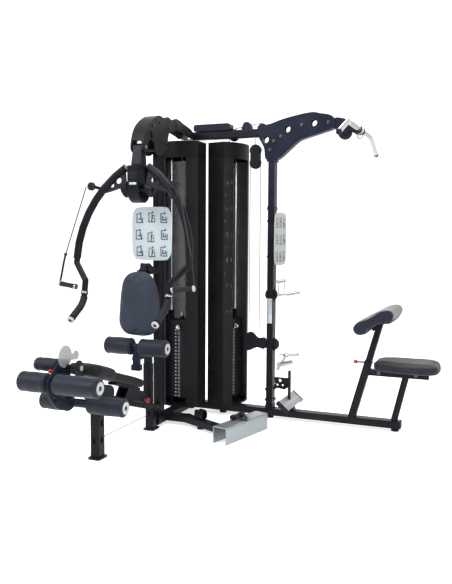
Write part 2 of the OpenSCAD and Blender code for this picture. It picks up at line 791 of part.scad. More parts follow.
// Brackets on the seat rail: leg pivot, roller post, and the back pad's carrier
module seat_brackets() color(black) {
    for (s = [-1, 1]) yz(sx + s * 43 - 3, sx + s * 43 + 3)
        polygon(smooth([[-1150, 336], [-1275, 340], [-1350, 390], [-1440, 478], [-1524, 540],
            [-1533, 585], [-1505, 612], [-1466, 604], [-1450, 540], [-1440, 506],
            [-1350, 468], [-1250, 436], [-1150, 402]], 4));
    bar_x(leg_pivot, sx - 60, sx + 60, 14);
    bar_x([-1300, 412], sx - 43, sx + 43, 12);
    on_incline() for (s = [-1, 1]) translate([s * 32.5 - 7.5, -845, -36]) cube([15, 30, 26]);
    // Roller post on the seat rail
    difference() {
        translate([sx, -640, 150]) box_tube(60, 40, 298);
        on_incline() translate([-60, -700, -200]) cube([120, 700, 200]);
    }
    // Carrier of the back pad, out from the press upright
    translate([sx - 20, -662, 1032]) cube([40, 662 + upright_y - tw / 2, 36]);
    for (s = [-1, 1]) yz(sx + s * 24 - 4, sx + s * 24 + 4) difference() {
        hull() {
            translate(back_hinge) circle(20, $fn = 32);
            translate([-640, 1032]) square([40, 36]);
        }
        translate(back_hinge) circle(7);
    }
    bar_x(back_hinge, sx - 32, sx + 32, 7);
    // Stop that the pad's plate rests against
    translate([sx - 15, -706, 700]) cube([30, 706 + upright_y - tw / 2, 36]);
}

// Lever: hub, side plate, curved arm and the roller axles
module leg_lever() color(slate) {
    x0 = sx - 74;
    difference() {
        union() {
            bar_x(leg_pivot, x0, sx - 48.5, 42);
            yz(x0, x0 + 12) {
                hull() {
                    translate(leg_pivot) circle(42, $fn = 32);
                    translate(hold_axis) circle(26, $fn = 32);
                    translate(knee_axis) circle(26, $fn = 32);
                }
                difference() {
                    polygon(smooth([[-1624, 502], [-1610, 430], [-1540, 352], [-1440, 318],
                        [-1386, 328], [-1370, 354], [-1390, 374], [-1450, 376], [-1510, 410],
                        [-1570, 470]], 5));
                    translate([-1566, 408]) circle(13);
                }
            }
        }
        bar_x(leg_pivot, sx - 100, sx + 100, 14 + run);
        bar_x([-1556, 556], sx - 100, sx - 50, 4.5 + run);
    }
    bar_x(knee_axis, sx - 252, sx + 244, axle_r);
    bar_x(ankle_axis, sx - 268, sx + 272, axle_r);
    bar_x(hold_axis, sx - 222, x0 + 4, axle_r);
    // Adjusting block between the ankle rollers
    difference() {
        bar_x(ankle_axis, sx - 62, sx + 34, 24);
        bar_x(ankle_axis, sx - 100, sx + 100, axle_r - 1);
    }
}

module knee_rollers() color(slate) {
    foam(knee_axis, sx - 250, sx - 76, roller_d / 2, 16);
    foam(knee_axis, sx - 26, sx + 242, roller_d / 2, 16);
}

module ankle_rollers() color(slate) {
    foam(ankle_axis, sx - 266, sx - 82, roller_d / 2 - 3, 16);
    foam(ankle_axis, sx + 40, sx + 270, roller_d / 2 - 3, 16);
}

module hold_down_roller() color(slate) foam(hold_axis, sx - 220, sx - 80, 38, 14);

// Carriage under the seat, with its red locking knob
module seat_carriage() color(black) on_incline() {
    for (s = [-1, 1]) yz(s * 33 - 4, s * 33 + 4) polygon([[-585, -8], [-560, 62], [-372, 62],
        [-290, 18], [-290, -8]]);
    translate([-37, -560, 54]) cube([74, 188, 8]);
    translate([-30, -700, 62]) cube([60, 300, 16]);
    translate([37, -330, 8]) rotate([0, 90, 0]) cylinder(r = 7, h = 16);
    translate([53, -330, 8]) rotate([0, 90, 0]) cylinder(r = 17, h = 10);
}

module seat_pad() color([0.24, 0.24, 0.26]) on_incline() {
    translate([0, -935, 79]) linear_extrude(68) rrect(seat_w, 256, 60);
    translate([0, -610, 79]) linear_extrude(56) rrect(116, 460, 30);
}

module back_outline() polygon(smooth([[0, -205], [-90, -196], [-138, -140], [-146, -50], [-136, 60],
    [-112, 150], [-66, 200], [0, 210], [66, 200], [112, 150], [136, 60], [146, -50], [138, -140],
    [90, -196]], 4));

module back_pad() color(slate)
    translate([sx, 0, 848]) xz(back_front, back_rear) back_outline();

module back_pad_plate() color(navy) {
    translate([sx - 30, back_rear, 690]) cube([60, 6, 372]);
    difference() {
        union() {
            yz(sx - 18, sx + 18) hull() {
                translate(back_hinge) circle(18, $fn = 32);
                translate([back_rear, 1052]) square([6, 10]);
            }
            bar_x(back_hinge, sx - 18, sx + 18, 18);
        }
        bar_x(back_hinge, sx - 40, sx + 40, 7 + run);
    }
    // Red release lever at the lower right
    translate([sx + 26, back_rear + 6, 700]) rotate([0, 64, 0]) cylinder(r = 5, h = 66);
}

module thigh_arm() color(navy) {
    // Slider in the roller post
    translate([sx, -640, 330]) linear_extrude(190) rrect(52, 32, 4);
    // Forward arm and stem
    translate([sx - 22, -812, 496]) cube([44, 190, 24]);
    translate([sx - 30, -812, 430]) cube([60, 40, 36]);
    translate([sx - 22, -806, 466]) cube([44, 28, 96]);
    bar_x(thigh_axis, sx - 218, sx + 218, axle_r);
    bar_x(thigh_axis, sx - 24, sx + 24, 22);
}

module thigh_rollers() color(slate) for (s = [-1, 1])
    foam(thigh_axis, (s > 0) ? sx + 28 : sx - 216, (s > 0) ? sx + 216 : sx - 28, roller_d / 2, 16);

// ---------- bench movers ----------

module lean() translate([bench_post_x, 0, rail_top]) rotate([0, bench_lean, 0]) children();

module preacher_post() color(navy) {
    lean() translate([0, 0, 180]) linear_extrude(380) rrect(42 - 2 * run, 52 - 2 * run, 4);
    // Head that carries the pad
    difference() {
        union() {
            lean() translate([0, 0, 540]) linear_extrude(150) rrect(40, 50, 4);
            translate([preacher_x, 0, preacher_z]) rotate([0, -37, 0]) translate([-48, -80, -14])
                cube([88, 160, 20]);
        }
        xz(-223, 223) arm_pad_outline();
    }
}

// Kidney-shaped arm pad, long axis along Y
module arm_pad_outline() polygon(smooth([[612, 690], [625, 657], [658, 645], [692, 662], [726, 698],
        [760, 725], [800, 737], [848, 737], [876, 758], [885, 795], [866, 819], [838, 823],
        [786, 809], [712, 768], [640, 728]], 5));

module preacher_pad() color([0.35, 0.35, 0.37]) xz(-222, 222) arm_pad_outline();

// Pull knob: a turned head on a shank, pulled along -X
module pull_knob(r, shank_r, shank) {
    rotate([0, 90, 0]) rotate_extrude() polygon([[0, -r], [r * 0.6, -r], [r, -r * 0.5],
        [r, r * 0.5], [r * 0.6, r], [0, r]]);
    rod([r * 0.7, 0, 0], [shank, 0, 0], shank_r);
}

module bench_plunger() color(red) translate([602, 0, 444]) pull_knob(13, 6, 57);

module leg_plunger() color(red) translate([sx - 94, -1556, 556]) pull_knob(11, 4.5, 30);

// ---------- column movers ----------

// Lat bar: straight grip, bent ends and a swivel eye
module lat_bar() color(silver) {
    bent_rod([[lat_x, -620, 1880], [lat_x, -372, lat_z], [lat_x, 372, lat_z], [lat_x, 620, 1880]], 15);
    bar_y([lat_x, lat_z], -20, 20, 20);
    translate([lat_x, 4, lat_z - 38]) rotate([90, 0, 0]) rotate_extrude()
        translate([16, 0]) circle(4);
}

module high_pulley() color(black)
    translate(high_pulley_at) rotate([90, 0, 0]) pulley(46, 20, 7 + run);

module mid_pulley() color(black)
    translate(mid_pulley_at) rotate([90, 0, 0]) pulley(44, 18, 7);

module low_pulley() color(black)
    translate(low_pulley_at) rotate([90, 0, 0]) pulley(44, 18, 7);

// Stirrup handle hung on the middle pulley
module mid_handle() color(silver) translate(mid_pulley_at) {
    rod([38, 4, 92], [102, 4, 102], 13);
    rod([46, 4, 90], [54, 0, 0], 2.5);
    rod([96, 4, 92], [90, 0, 4], 2.5);
    rod([50, 0, 0], [112, 0, 6], 8);
    rod([112, 0, 6], [204, 0, 24], 12);
}

// Close-grip row handle on the low pulley
module row_handle() color(silver) {
    rod([64, 0, 454], [104, 0, 454], 7);
    translate([112, 0, 454]) rotate([0, 90, 37]) cylinder(r = 15, h = 30, center = true);
    rod([62, -40, 350], [112, 0, 454], 11);
    rod([112, 0, 454], [190, 60, 452], 11);
    rod([78, -62, 394], [132, 58, 394], 18);
}
base_rail();
station_rail();
row_outrigger();
seat_rail();
feet_and_caps();
row_footplate();
row_strap();
press_upright();
column();
top_beam();
beam_covers();
press_top_plates();
boom();
tower_plates();
left_shroud();
right_shroud();
guide_rods();
left_weight_plates();
right_weight_plates();
acrylic_panels();
guide_cables();
pulley_blocks();
seat_brackets();
column_footplate();
bench_frame();
bench_seat();
bolts();
press_head();
right_press_arm();
left_press_arm();
right_arm_pulley();
left_arm_pulley();
right_fly_handle();
left_fly_handle();
leg_lever();
knee_rollers();
ankle_rollers();
hold_down_roller();
seat_carriage();
seat_pad();
back_pad();
back_pad_plate();
thigh_arm();
thigh_rollers();
preacher_pad();
preacher_post();
left_stack_head();
right_stack_head();
left_pin();
right_pin();
left_lift_cable();
right_lift_cable();
lat_bar();
high_pulley();
mid_pulley();
low_pulley();
mid_handle();
row_handle();
bench_plunger();
leg_plunger();
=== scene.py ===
"""Multi station home gym: materials, upholstery, small parts, light and camera."""
import math

import bmesh
import bpy
from mathutils import Matrix, Vector


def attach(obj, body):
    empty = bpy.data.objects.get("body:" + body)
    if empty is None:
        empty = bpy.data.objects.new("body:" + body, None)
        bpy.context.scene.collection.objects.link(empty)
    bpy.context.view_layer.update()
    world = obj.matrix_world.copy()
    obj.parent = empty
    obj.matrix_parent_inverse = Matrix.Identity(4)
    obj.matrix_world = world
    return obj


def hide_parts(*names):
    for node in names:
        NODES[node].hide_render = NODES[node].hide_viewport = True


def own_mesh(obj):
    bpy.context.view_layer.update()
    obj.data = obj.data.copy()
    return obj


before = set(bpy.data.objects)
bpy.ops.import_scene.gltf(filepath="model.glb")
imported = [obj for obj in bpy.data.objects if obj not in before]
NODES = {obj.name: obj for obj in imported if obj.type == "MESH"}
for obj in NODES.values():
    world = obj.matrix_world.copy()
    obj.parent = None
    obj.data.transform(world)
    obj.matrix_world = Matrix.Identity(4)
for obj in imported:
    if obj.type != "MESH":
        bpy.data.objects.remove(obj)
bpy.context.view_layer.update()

# Places shared with the CAD, in metres
SX = -0.630
LEFT_TOWER, RIGHT_TOWER, RIGHT_TURN = Vector((SX, -0.130, 0)), Vector((-0.350, 0.060, 0)), math.radians(76)
INCLINE = Vector((SX, -0.440, 0.126))
SLOPE = math.radians(17.6)
STACK_BOTTOM, PLATE_T, PLATES = 0.122, 0.025, 20


# ------------------------------------------------------------------ materials

class Nodes:
    """Short calls for building one node material."""

    def __init__(self, name):
        self.mat = bpy.data.materials.new(name)
        self.mat.use_nodes = True
        self.tree = self.mat.node_tree
        self.tree.nodes.clear()
        self.out = self.new("ShaderNodeOutputMaterial")
        self.bsdf = self.new("ShaderNodeBsdfPrincipled")
        self.link(self.bsdf.outputs[0], self.out.inputs[0])
        self.coords = self.new("ShaderNodeTexCoord").outputs["Object"]

    def new(self, kind, **values):
        n = self.tree.nodes.new(kind)
        for k, v in values.items():
            setattr(n, k, v)
        return n

    def link(self, a, b):
        self.tree.links.new(a, b)

    def feed(self, socket, value):
        if isinstance(value, bpy.types.NodeSocket):
            self.link(value, socket)
        else:
            socket.default_value = value

    def math(self, op, a, b=0.0):
        n = self.new("ShaderNodeMath", operation=op)
        for s, v in zip(n.inputs, (a, b)):
            self.feed(s, v)
        return n.outputs[0]

    def noise(self, scale, detail=3.0, rough=0.5, stretch=None, distort=0.0):
        n = self.new("ShaderNodeTexNoise")
        n.inputs["Scale"].default_value = scale
        n.inputs["Detail"].default_value = detail
        n.inputs["Roughness"].default_value = rough
        n.inputs["Distortion"].default_value = distort
        self.link(self.scaled(stretch), n.inputs["Vector"])
        return n.outputs["Fac"]

    def scaled(self, stretch):
        if stretch is None:
            return self.coords
        m = self.new("ShaderNodeMapping")
        m.inputs["Scale"].default_value = stretch
        self.link(self.coords, m.inputs["Vector"])
        return m.outputs[0]

    def cells(self, scale, feature="F1"):
        n = self.new("ShaderNodeTexVoronoi", feature=feature)
        n.inputs["Scale"].default_value = scale
        self.link(self.coords, n.inputs["Vector"])
        return n.outputs["Distance"]

    def span(self, value, a, b, lo=0.0, hi=1.0, smooth=False):
        n = self.new("ShaderNodeMapRange")
        if smooth:
            n.interpolation_type = "SMOOTHSTEP"
        self.feed(n.inputs["Value"], value)
        for k, v in (("From Min", a), ("From Max", b), ("To Min", lo), ("To Max", hi)):
            n.inputs[k].default_value = v
        return n.outputs["Result"]

    def mix(self, factor, a, b):
        n = self.new("ShaderNodeMix", data_type="RGBA")
        self.feed(n.inputs[0], factor)
        for s, v in ((n.inputs[6], a), (n.inputs[7], b)):
            if not isinstance(v, bpy.types.NodeSocket):
                v = (*v[:3], 1.0)
            self.feed(s, v)
        return n.outputs[2]

    def bump(self, height, strength, distance, under=None):
        n = self.new("ShaderNodeBump")
        n.inputs["Strength"].default_value = strength
        n.inputs["Distance"].default_value = distance
        self.feed(n.inputs["Height"], height)
        if under is not None:
            self.link(under, n.inputs["Normal"])
        return n.outputs[0]

    def soft_edges(self, radius=0.0016):
        n = self.new("ShaderNodeBevel", samples=4)
        n.inputs["Radius"].default_value = radius
        return n.outputs[0]

    def xyz(self):
        n = self.new("ShaderNodeSeparateXYZ")
        self.link(self.coords, n.inputs[0])
        return n.outputs

    def set(self, **values):
        names = {"base": "Base Color", "rough": "Roughness", "metal": "Metallic", "normal": "Normal",
                 "coat": "Coat Weight", "coat_rough": "Coat Roughness", "sheen": "Sheen Weight",
                 "spec": "Specular IOR Level", "alpha": "Alpha"}
        for k, v in values.items():
            if k == "base" and not isinstance(v, bpy.types.NodeSocket):
                v = (*v[:3], 1.0)
            self.feed(self.bsdf.inputs[names[k]], v)
        return self.mat


def paint(name, dark, light, rough=0.42, edges=True, peel=0.25, spec=0.13, fade=None):
    """Textured powder coat: slow tone drift and fine orange peel. fade=(low z, high z, colour below)."""
    n = Nodes(name)
    drift = n.noise(9.0, 3.0)
    speck = n.noise(900.0, 2.0)
    tone = n.math("ADD", n.math("MULTIPLY", drift, 0.7), n.math("MULTIPLY", speck, 0.3))
    colour = n.mix(n.span(tone, 0.32, 0.68), dark, light)
    if fade:
        colour = n.mix(n.span(n.xyz()[2], fade[0], fade[1]), fade[2], colour)
    roughness = n.span(n.noise(60.0, 4.0, 0.6), 0.2, 0.8, rough - 0.08, rough + 0.1)
    normal = n.bump(n.noise(620.0, 2.0), peel, 0.0005, n.soft_edges() if edges else None)
    return n.set(base=colour, rough=roughness, normal=normal, spec=spec)


def metal(name, colour, rough=0.2, grain=None, edges=True):
    """Plated or brushed metal with fine scratches and smears."""
    n = Nodes(name)
    smear = n.noise(24.0, 4.0, 0.6)
    line = n.noise(260.0, 3.0, 0.6, stretch=grain or (1.0, 1.0, 1.0))
    base = n.mix(n.span(smear, 0.3, 0.7), [c * 0.9 for c in colour], colour)
    roughness = n.math("ADD", n.span(smear, 0.25, 0.75, rough * 0.75, rough * 1.3),
                       n.span(line, 0.3, 0.7, 0.0, 0.08))
    normal = n.bump(line, 0.1, 0.0002, n.soft_edges(0.001) if edges else None)
    return n.set(base=base, metal=1.0, rough=roughness, normal=normal)


def rubber(name, colour, rough=0.7, speckle=480.0):
    """Moulded rubber or plastic, with fine pebble grain."""
    n = Nodes(name)
    pebble = n.cells(speckle)
    drift = n.noise(20.0, 3.0)
    base = n.mix(n.span(drift, 0.3, 0.7), [c * 0.8 for c in colour], colour)
    return n.set(base=base, rough=n.span(drift, 0.3, 0.7, rough - 0.08, rough + 0.08), spec=0.22,
                 normal=n.bump(pebble, 0.35, 0.0006))


def leather(name, dark, light, grain=420.0, rough=0.5, spec=0.22):
    """Upholstery vinyl: pebbled grain, soft creases, shine where it is rubbed."""
    n = Nodes(name)
    pebble = n.cells(grain)
    vein = n.cells(grain * 0.55, "DISTANCE_TO_EDGE")
    crease = n.noise(26.0, 5.0, 0.6, distort=0.6)
    drift = n.noise(7.0, 3.0)
    tone = n.math("ADD", n.math("MULTIPLY", drift, 0.65), n.math("MULTIPLY", n.span(vein, 0.0, 0.25), 0.35))
    colour = n.mix(n.span(tone, 0.3, 0.75), dark, light)
    roughness = n.math("ADD", n.span(drift, 0.3, 0.7, rough - 0.1, rough + 0.06),
                       n.span(pebble, 0.0, 0.8, 0.0, 0.1))
    under = n.bump(crease, 0.3, 0.0012)
    normal = n.bump(n.math("ADD", n.math("MULTIPLY", pebble, -0.5), n.math("MULTIPLY", vein, 0.8)),
                    0.35, 0.0005, under)
    return n.set(base=colour, rough=roughness, normal=normal, sheen=0.04, spec=spec)


def perforated(name, centre):
    """Perforated steel sheet. The face towards the stack is painted a paler grey than the outside, as painted
    light for the lit inside of the tower.
    """
    n = Nodes(name)
    x, y, z = n.xyz()
    # Staggered round holes: rows up the sheet, columns round it by its own angle
    away = n.new("ShaderNodeVectorMath", operation="SUBTRACT")
    n.link(n.coords, away.inputs[0])
    away.inputs[1].default_value = centre
    side = n.new("ShaderNodeSeparateXYZ")
    n.link(away.outputs[0], side.inputs[0])
    turn = n.math("ARCTAN2", side.outputs[1], side.outputs[0])
    pitch = 0.0064
    row = n.math("DIVIDE", z, pitch * 0.866)
    odd = n.math("MULTIPLY", n.math("MODULO", n.math("FLOOR", row), 2.0), 0.5)
    column = n.math("ADD", n.math("MULTIPLY", turn, 0.140 / pitch), odd)
    u = n.math("SUBTRACT", n.math("FRACT", n.math("ADD", column, 200.0)), 0.5)
    v = n.math("MULTIPLY", n.math("SUBTRACT", n.math("FRACT", row), 0.5), 0.866)
    far = n.math("SQRT", n.math("ADD", n.math("MULTIPLY", u, u), n.math("MULTIPLY", v, v)))
    hole = n.math("LESS_THAN", far, 0.15)
    normal = n.new("ShaderNodeNewGeometry").outputs["Normal"]
    facing = n.new("ShaderNodeVectorMath", operation="DOT_PRODUCT")
    n.link(normal, facing.inputs[0])
    n.link(away.outputs[0], facing.inputs[1])
    # Faces looking in towards the stack take a paler grey: painted light for the lit inside of the tower. The
    # outer face keeps the sheet's own near-black.
    inner = n.math("LESS_THAN", facing.outputs["Value"], 0.0)
    drift = n.noise(5.0, 3.0)
    outside = n.mix(n.span(drift, 0.3, 0.7), (0.006, 0.006, 0.0065), (0.012, 0.0115, 0.0115))
    painted_lit_inside = n.mix(n.span(drift, 0.3, 0.7), (0.070, 0.075, 0.073), (0.095, 0.100, 0.097))
    base = n.mix(inner, outside, painted_lit_inside)
    solid = n.math("SUBTRACT", 1.0, hole)
    return n.set(base=base, rough=n.span(drift, 0.3, 0.7, 0.42, 0.56), alpha=solid, spec=0.15,
                 normal=n.bump(n.span(far, 0.2, 0.34), 0.3, 0.0004))


def treadplate(name, colour, turn, axes):
    """Plated tread with a raised diamond pattern, in the plane of the two axes named."""
    n = Nodes(name)
    m = n.new("ShaderNodeMapping")
    m.inputs["Rotation"].default_value = turn
    n.link(n.coords, m.inputs["Vector"])
    s = n.new("ShaderNodeSeparateXYZ")
    n.link(m.outputs[0], s.inputs[0])
    a, b = s.outputs[axes[0]], s.outputs[axes[1]]
    p = n.math("MULTIPLY", n.math("ADD", a, b), 330.0)
    q = n.math("MULTIPLY", n.math("SUBTRACT", a, b), 330.0)
    bars = n.math("MULTIPLY", n.math("SINE", p), n.math("SINE", q))
    raised = n.span(bars, 0.1, 0.55, smooth=True)
    smear = n.noise(18.0, 4.0, 0.6)
    base = n.mix(raised, [c * 0.72 for c in colour], colour)
    return n.set(base=base, metal=0.75,
                 rough=n.math("SUBTRACT", n.span(smear, 0.3, 0.7, 0.36, 0.5),
                              n.math("MULTIPLY", raised, 0.1)),
                 normal=n.bump(raised, 0.8, 0.0012, n.soft_edges()))


def knurled(name, colour):
    """Plated bar with a crossed knurl on it."""
    n = Nodes(name)
    x, y, z = n.xyz()
    turn = n.math("ARCTAN2", n.math("SUBTRACT", z, 1.978), n.math("SUBTRACT", x, 0.598))
    p = n.math("ADD", n.math("MULTIPLY", y, 1900.0), n.math("MULTIPLY", turn, 28.0))
    q = n.math("SUBTRACT", n.math("MULTIPLY", y, 1900.0), n.math("MULTIPLY", turn, 28.0))
    knurl = n.math("MULTIPLY", n.math("SINE", p), n.math("SINE", q))
    reach = n.math("ABSOLUTE", y)
    zone = n.math("MULTIPLY", n.math("GREATER_THAN", reach, 0.10), n.math("LESS_THAN", reach, 0.34))
    smear = n.noise(20.0, 4.0, 0.6)
    base = n.mix(n.math("MULTIPLY", zone, n.span(knurl, -0.2, 0.5)), colour, [c * 0.7 for c in colour])
    return n.set(base=base, metal=1.0,
                 rough=n.math("ADD", n.span(smear, 0.3, 0.7, 0.14, 0.26), n.math("MULTIPLY", zone, 0.18)),
                 normal=n.bump(n.math("MULTIPLY", knurl, zone), 0.4, 0.0005, n.soft_edges(0.001)))


def cable(name, colour):
    """Nylon-coated wire rope: the strands show through the coat."""
    n = Nodes(name)
    x, y, z = n.xyz()
    lay = n.math("SINE", n.math("MULTIPLY", n.math("ADD", n.math("ADD", x, y), z), 1400.0))
    base = n.mix(n.span(lay, -0.6, 0.6), [c * 0.75 for c in colour], colour)
    return n.set(base=base, rough=0.3, metal=0.3, coat=0.5, coat_rough=0.2, normal=n.bump(lay, 0.3, 0.0003))


def clear_sheet(name, colour, alpha, rough=0.12):
    """Tinted acrylic sheet with faint smears."""
    n = Nodes(name)
    smear = n.noise(14.0, 4.0, 0.6)
    base = n.mix(n.span(smear, 0.3, 0.7), [c * 0.93 for c in colour], colour)
    return n.set(base=base, rough=n.span(smear, 0.3, 0.7, rough, rough + 0.12), alpha=alpha,
                 spec=0.3, normal=n.bump(n.noise(60.0, 2.0), 0.04, 0.0003))


def webbing(name, colour, axis=1):
    """Woven nylon strap: ribs across and a herringbone along."""
    n = Nodes(name)
    s = n.xyz()
    across = n.math("SINE", n.math("MULTIPLY", s[axis], 2600.0))
    along = n.math("SINE", n.math("MULTIPLY", n.math("ADD", s[0], s[2]), 2100.0))
    weave = n.math("MULTIPLY", across, along)
    base = n.mix(n.span(weave, -0.5, 0.5), [c * 0.6 for c in colour], colour)
    return n.set(base=base, rough=0.8, sheen=0.03, spec=0.15, normal=n.bump(weave, 0.6, 0.0006))


BLACK = ((0.0045, 0.005, 0.0075), (0.0095, 0.0105, 0.0155))
M = {
    "frame": paint("frame_black", *BLACK, rough=0.36),
    "navy": paint("boom_navy", (0.006, 0.008, 0.018), (0.013, 0.016, 0.032), rough=0.38),
    "column": paint("column_navy", (0.006, 0.008, 0.018), (0.013, 0.016, 0.032), rough=0.38,
                    fade=(0.95, 1.45, (0.0060, 0.0062, 0.0075))),
    "arch": paint("arch_brown", (0.010, 0.009, 0.0085), (0.022, 0.019, 0.018), rough=0.46),
    "slate": paint("lever_slate", (0.012, 0.015, 0.024), (0.022, 0.027, 0.042), rough=0.40),
    "header": paint("header_black", (0.003, 0.003, 0.0036), (0.0065, 0.0065, 0.007), rough=0.5, peel=0.15),
    "plastic": rubber("black_plastic", (0.016, 0.016, 0.018), rough=0.5),
    "rubber": rubber("grip_rubber", (0.013, 0.015, 0.020), rough=0.66),
    "foot": rubber("foot_rubber", (0.012, 0.012, 0.013), rough=0.75),
    "chrome": metal("chrome", (0.42, 0.425, 0.435), 0.18),
    "zinc": metal("zinc_plate", (0.42, 0.43, 0.44), 0.3),
    "rod": metal("rod_chrome", (0.70, 0.73, 0.75), 0.12, grain=(1.0, 1.0, 0.05), edges=False),
    "brushed": metal("brushed_label", (0.62, 0.66, 0.72), 0.36, grain=(6.0, 1.0, 0.15), edges=False),
    "knurl": knurled("bar_chrome", (0.44, 0.44, 0.43)),
    "iron": paint("plate_iron", (0.006, 0.0062, 0.0075), (0.013, 0.013, 0.016), rough=0.42, peel=0.4),
    "bolt": metal("bolt_dark", (0.10, 0.103, 0.112), 0.34),
    "cable": cable("coated_cable", (0.17, 0.175, 0.18)),
    "dark_cable": cable("dark_cable", (0.020, 0.021, 0.024)),
    "red": rubber("red_plastic", (0.46, 0.022, 0.024), rough=0.34, speckle=900.0),
    "white": rubber("pin_white", (0.72, 0.73, 0.74), rough=0.34, speckle=900.0),
    # Pale grey for the number stickers on the plates, and for the painted highlight round each pin hole
    "mark": rubber("plate_stickers_and_rim_highlights", (0.42, 0.45, 0.52), rough=0.5, speckle=900.0),
    "print": rubber("placard_print", (0.075, 0.095, 0.12), rough=0.5, speckle=900.0),
    "placard": clear_sheet("placard_sheet", (0.50, 0.57, 0.61), 1.0, 0.35),
    "placard_side": clear_sheet("placard_sheet_grey", (0.36, 0.375, 0.36), 1.0, 0.35),
    "guard": clear_sheet("cam_guard", (0.34, 0.355, 0.36), 0.7, 0.2),
    "strap": webbing("strap_webbing", (0.020, 0.020, 0.022)),
    "back": leather("back_vinyl", (0.020, 0.026, 0.043), (0.034, 0.043, 0.067)),
    "back_side": leather("back_side_vinyl", (0.012, 0.010, 0.012), (0.040, 0.018, 0.014)),
    "roller": leather("roller_vinyl", (0.009, 0.012, 0.020), (0.018, 0.022, 0.035), grain=520.0, rough=0.46),
    "seat": leather("seat_vinyl", (0.006, 0.0065, 0.008), (0.012, 0.013, 0.015), rough=0.5, spec=0.15),
    "bench_top": leather("bench_top_vinyl", (0.030, 0.027, 0.027), (0.062, 0.056, 0.054)),
    "bench_side": leather("bench_side_vinyl", (0.008, 0.009, 0.018), (0.016, 0.018, 0.034)),
    "curl_top": leather("curl_top_vinyl", (0.11, 0.105, 0.105), (0.20, 0.195, 0.19), rough=0.45),
    "curl_side": leather("curl_side_vinyl", (0.007, 0.009, 0.018), (0.015, 0.018, 0.034)),
    "cap": rubber("roller_cap", (0.50, 0.51, 0.52), rough=0.4, speckle=900.0),
    "cap_dark": rubber("roller_cap_centre", (0.016, 0.016, 0.018), rough=0.5),
    "tread_row": treadplate("row_tread", (0.34, 0.375, 0.39), (0, 0, math.radians(14)), (0, 1)),
    "tread_column": treadplate("column_tread", (0.42, 0.435, 0.44), (0, math.radians(40), 0), (0, 1)),
    "steel": metal("plate_silver", (0.36, 0.39, 0.41), 0.42),
    "hole_left": perforated("mesh_left", LEFT_TOWER),
    "hole_right": perforated("mesh_right", RIGHT_TOWER),
}


def coat(node, *names, pick=None):
    """Gives a CAD node its materials. pick(centre, normal) says which one each face takes."""
    o = NODES[node]
    o.data.materials.clear()
    for name in names:
        o.data.materials.append(M[name])
    for f in o.data.polygons:
        f.material_index = pick(f.center, f.normal) if pick else 0
    for f in o.data.polygons:
        f.use_smooth = True


def tower_world(i, p):
    if i == 0:
        return Vector(p) + LEFT_TOWER
    return Matrix.Rotation(RIGHT_TURN, 3, "Z") @ Vector(p) + RIGHT_TOWER


def on_incline(p):
    """From the seat rail's own axes to the frame."""
    return INCLINE + Matrix.Rotation(-SLOPE, 3, "X") @ Vector(p)


for node in ("base_rail", "station_rail", "row_outrigger", "seat_rail", "press_upright", "top_beam",
             "bench_frame", "press_head"):
    coat(node, "frame")
coat("column", "column")
coat("beam_covers", "navy")
coat("preacher_post", "frame")
coat("boom", "navy", "frame", pick=lambda c, n: 1 if c.x > 0.5365 else 0)
coat("press_top_plates", "arch", "zinc", pick=lambda c, n: 1 if abs(c.x - SX) > 0.0465 else 0)
coat("thigh_arm", "navy", "zinc", pick=lambda c, n: 1 if abs(c.x - SX) > 0.028 and (
    Vector((c.y + 0.79, c.z - 0.58)).length < 0.0135) else 0)
coat("tower_plates", "header")
coat("left_shroud", "hole_left")
coat("right_shroud", "hole_right")
coat("guide_rods", "rod")
for node in ("left_weight_plates", "right_weight_plates"):
    coat(node, "iron")
for node in ("left_stack_head", "right_stack_head"):
    coat(node, "iron")
for node in ("left_pin", "right_pin"):
    coat(node, "chrome")
coat("guide_cables", "cable")
coat("bolts", "bolt")
coat("feet_and_caps", "foot")
coat("seat_brackets", "frame", "zinc", pick=lambda c, n: 1 if abs(c.x - SX) > 0.047 and c.z > 0.55 else 0)
coat("seat_carriage", "frame", "steel", "red",
     pick=lambda c, n: 2 if c.x > SX + 0.0525 else (1 if c.x > SX + 0.0372 else 0))
coat("leg_lever", "slate", "zinc", pick=lambda c, n: 1 if min(
    Vector((c.y - a[0], c.z - a[1])).length for a in ((-1.6, 0.5), (-1.392, 0.352), (-1.5, 0.578))) < 0.0135
    and abs(c.x - SX) > 0.075 else 0)
for node in ("right_press_arm", "left_press_arm"):
    coat(node, "frame", "rubber", pick=lambda c, n: 1 if c.z < 0.905 else 0)
for node in ("right_arm_pulley", "left_arm_pulley", "high_pulley", "mid_pulley", "low_pulley"):
    coat(node, "plastic")
coat("pulley_blocks", "frame")
coat("back_pad_plate", "navy", "red", pick=lambda c, n: 1 if c.x > SX + 0.0305 and c.z < 0.76 else 0)
coat("lat_bar", "knurl")
coat("mid_handle", "chrome")
coat("row_handle", "chrome")
coat("bench_plunger", "red", "bolt", pick=lambda c, n: 1 if c.x > 0.6155 else 0)
coat("leg_plunger", "red", "zinc", pick=lambda c, n: 1 if c.x > SX - 0.0825 else 0)
coat("acrylic_panels", "placard", "placard_side", "guard",
     pick=lambda c, n: 2 if c.y < -1.2 else (1 if c.x > -0.2 else 0))
coat("row_footplate", "tread_row", "steel", pick=lambda c, n: 0 if n.z > 0.8 and c.z > 0.10 else 1)


def column_plate(c, n):
    across = abs((c.x - 0.150) * 0.643 + (c.z - 0.132) * 0.766)
    if abs(c.y) > 0.1765:
        return 2
    return 0 if across < 0.0048 and c.z < 0.168 and not (abs(c.y) < 0.0125 and n.y * n.y > 0.9) else 1


coat("column_footplate", "tread_column", "frame", "plastic", pick=column_plate)


# ------------------------------------------------------------------ mesh helpers

def add(name, verts, faces, mats, body, smooth=True, index=None):
    """Makes one visible piece that rides on a body."""
    mesh = bpy.data.meshes.new(name)
    mesh.from_pydata([tuple(v) for v in verts], [], faces)
    mesh.update()
    o = bpy.data.objects.new(name, mesh)
    bpy.context.scene.collection.objects.link(o)
    finish_piece(o, mats, body, smooth, index)
    return o


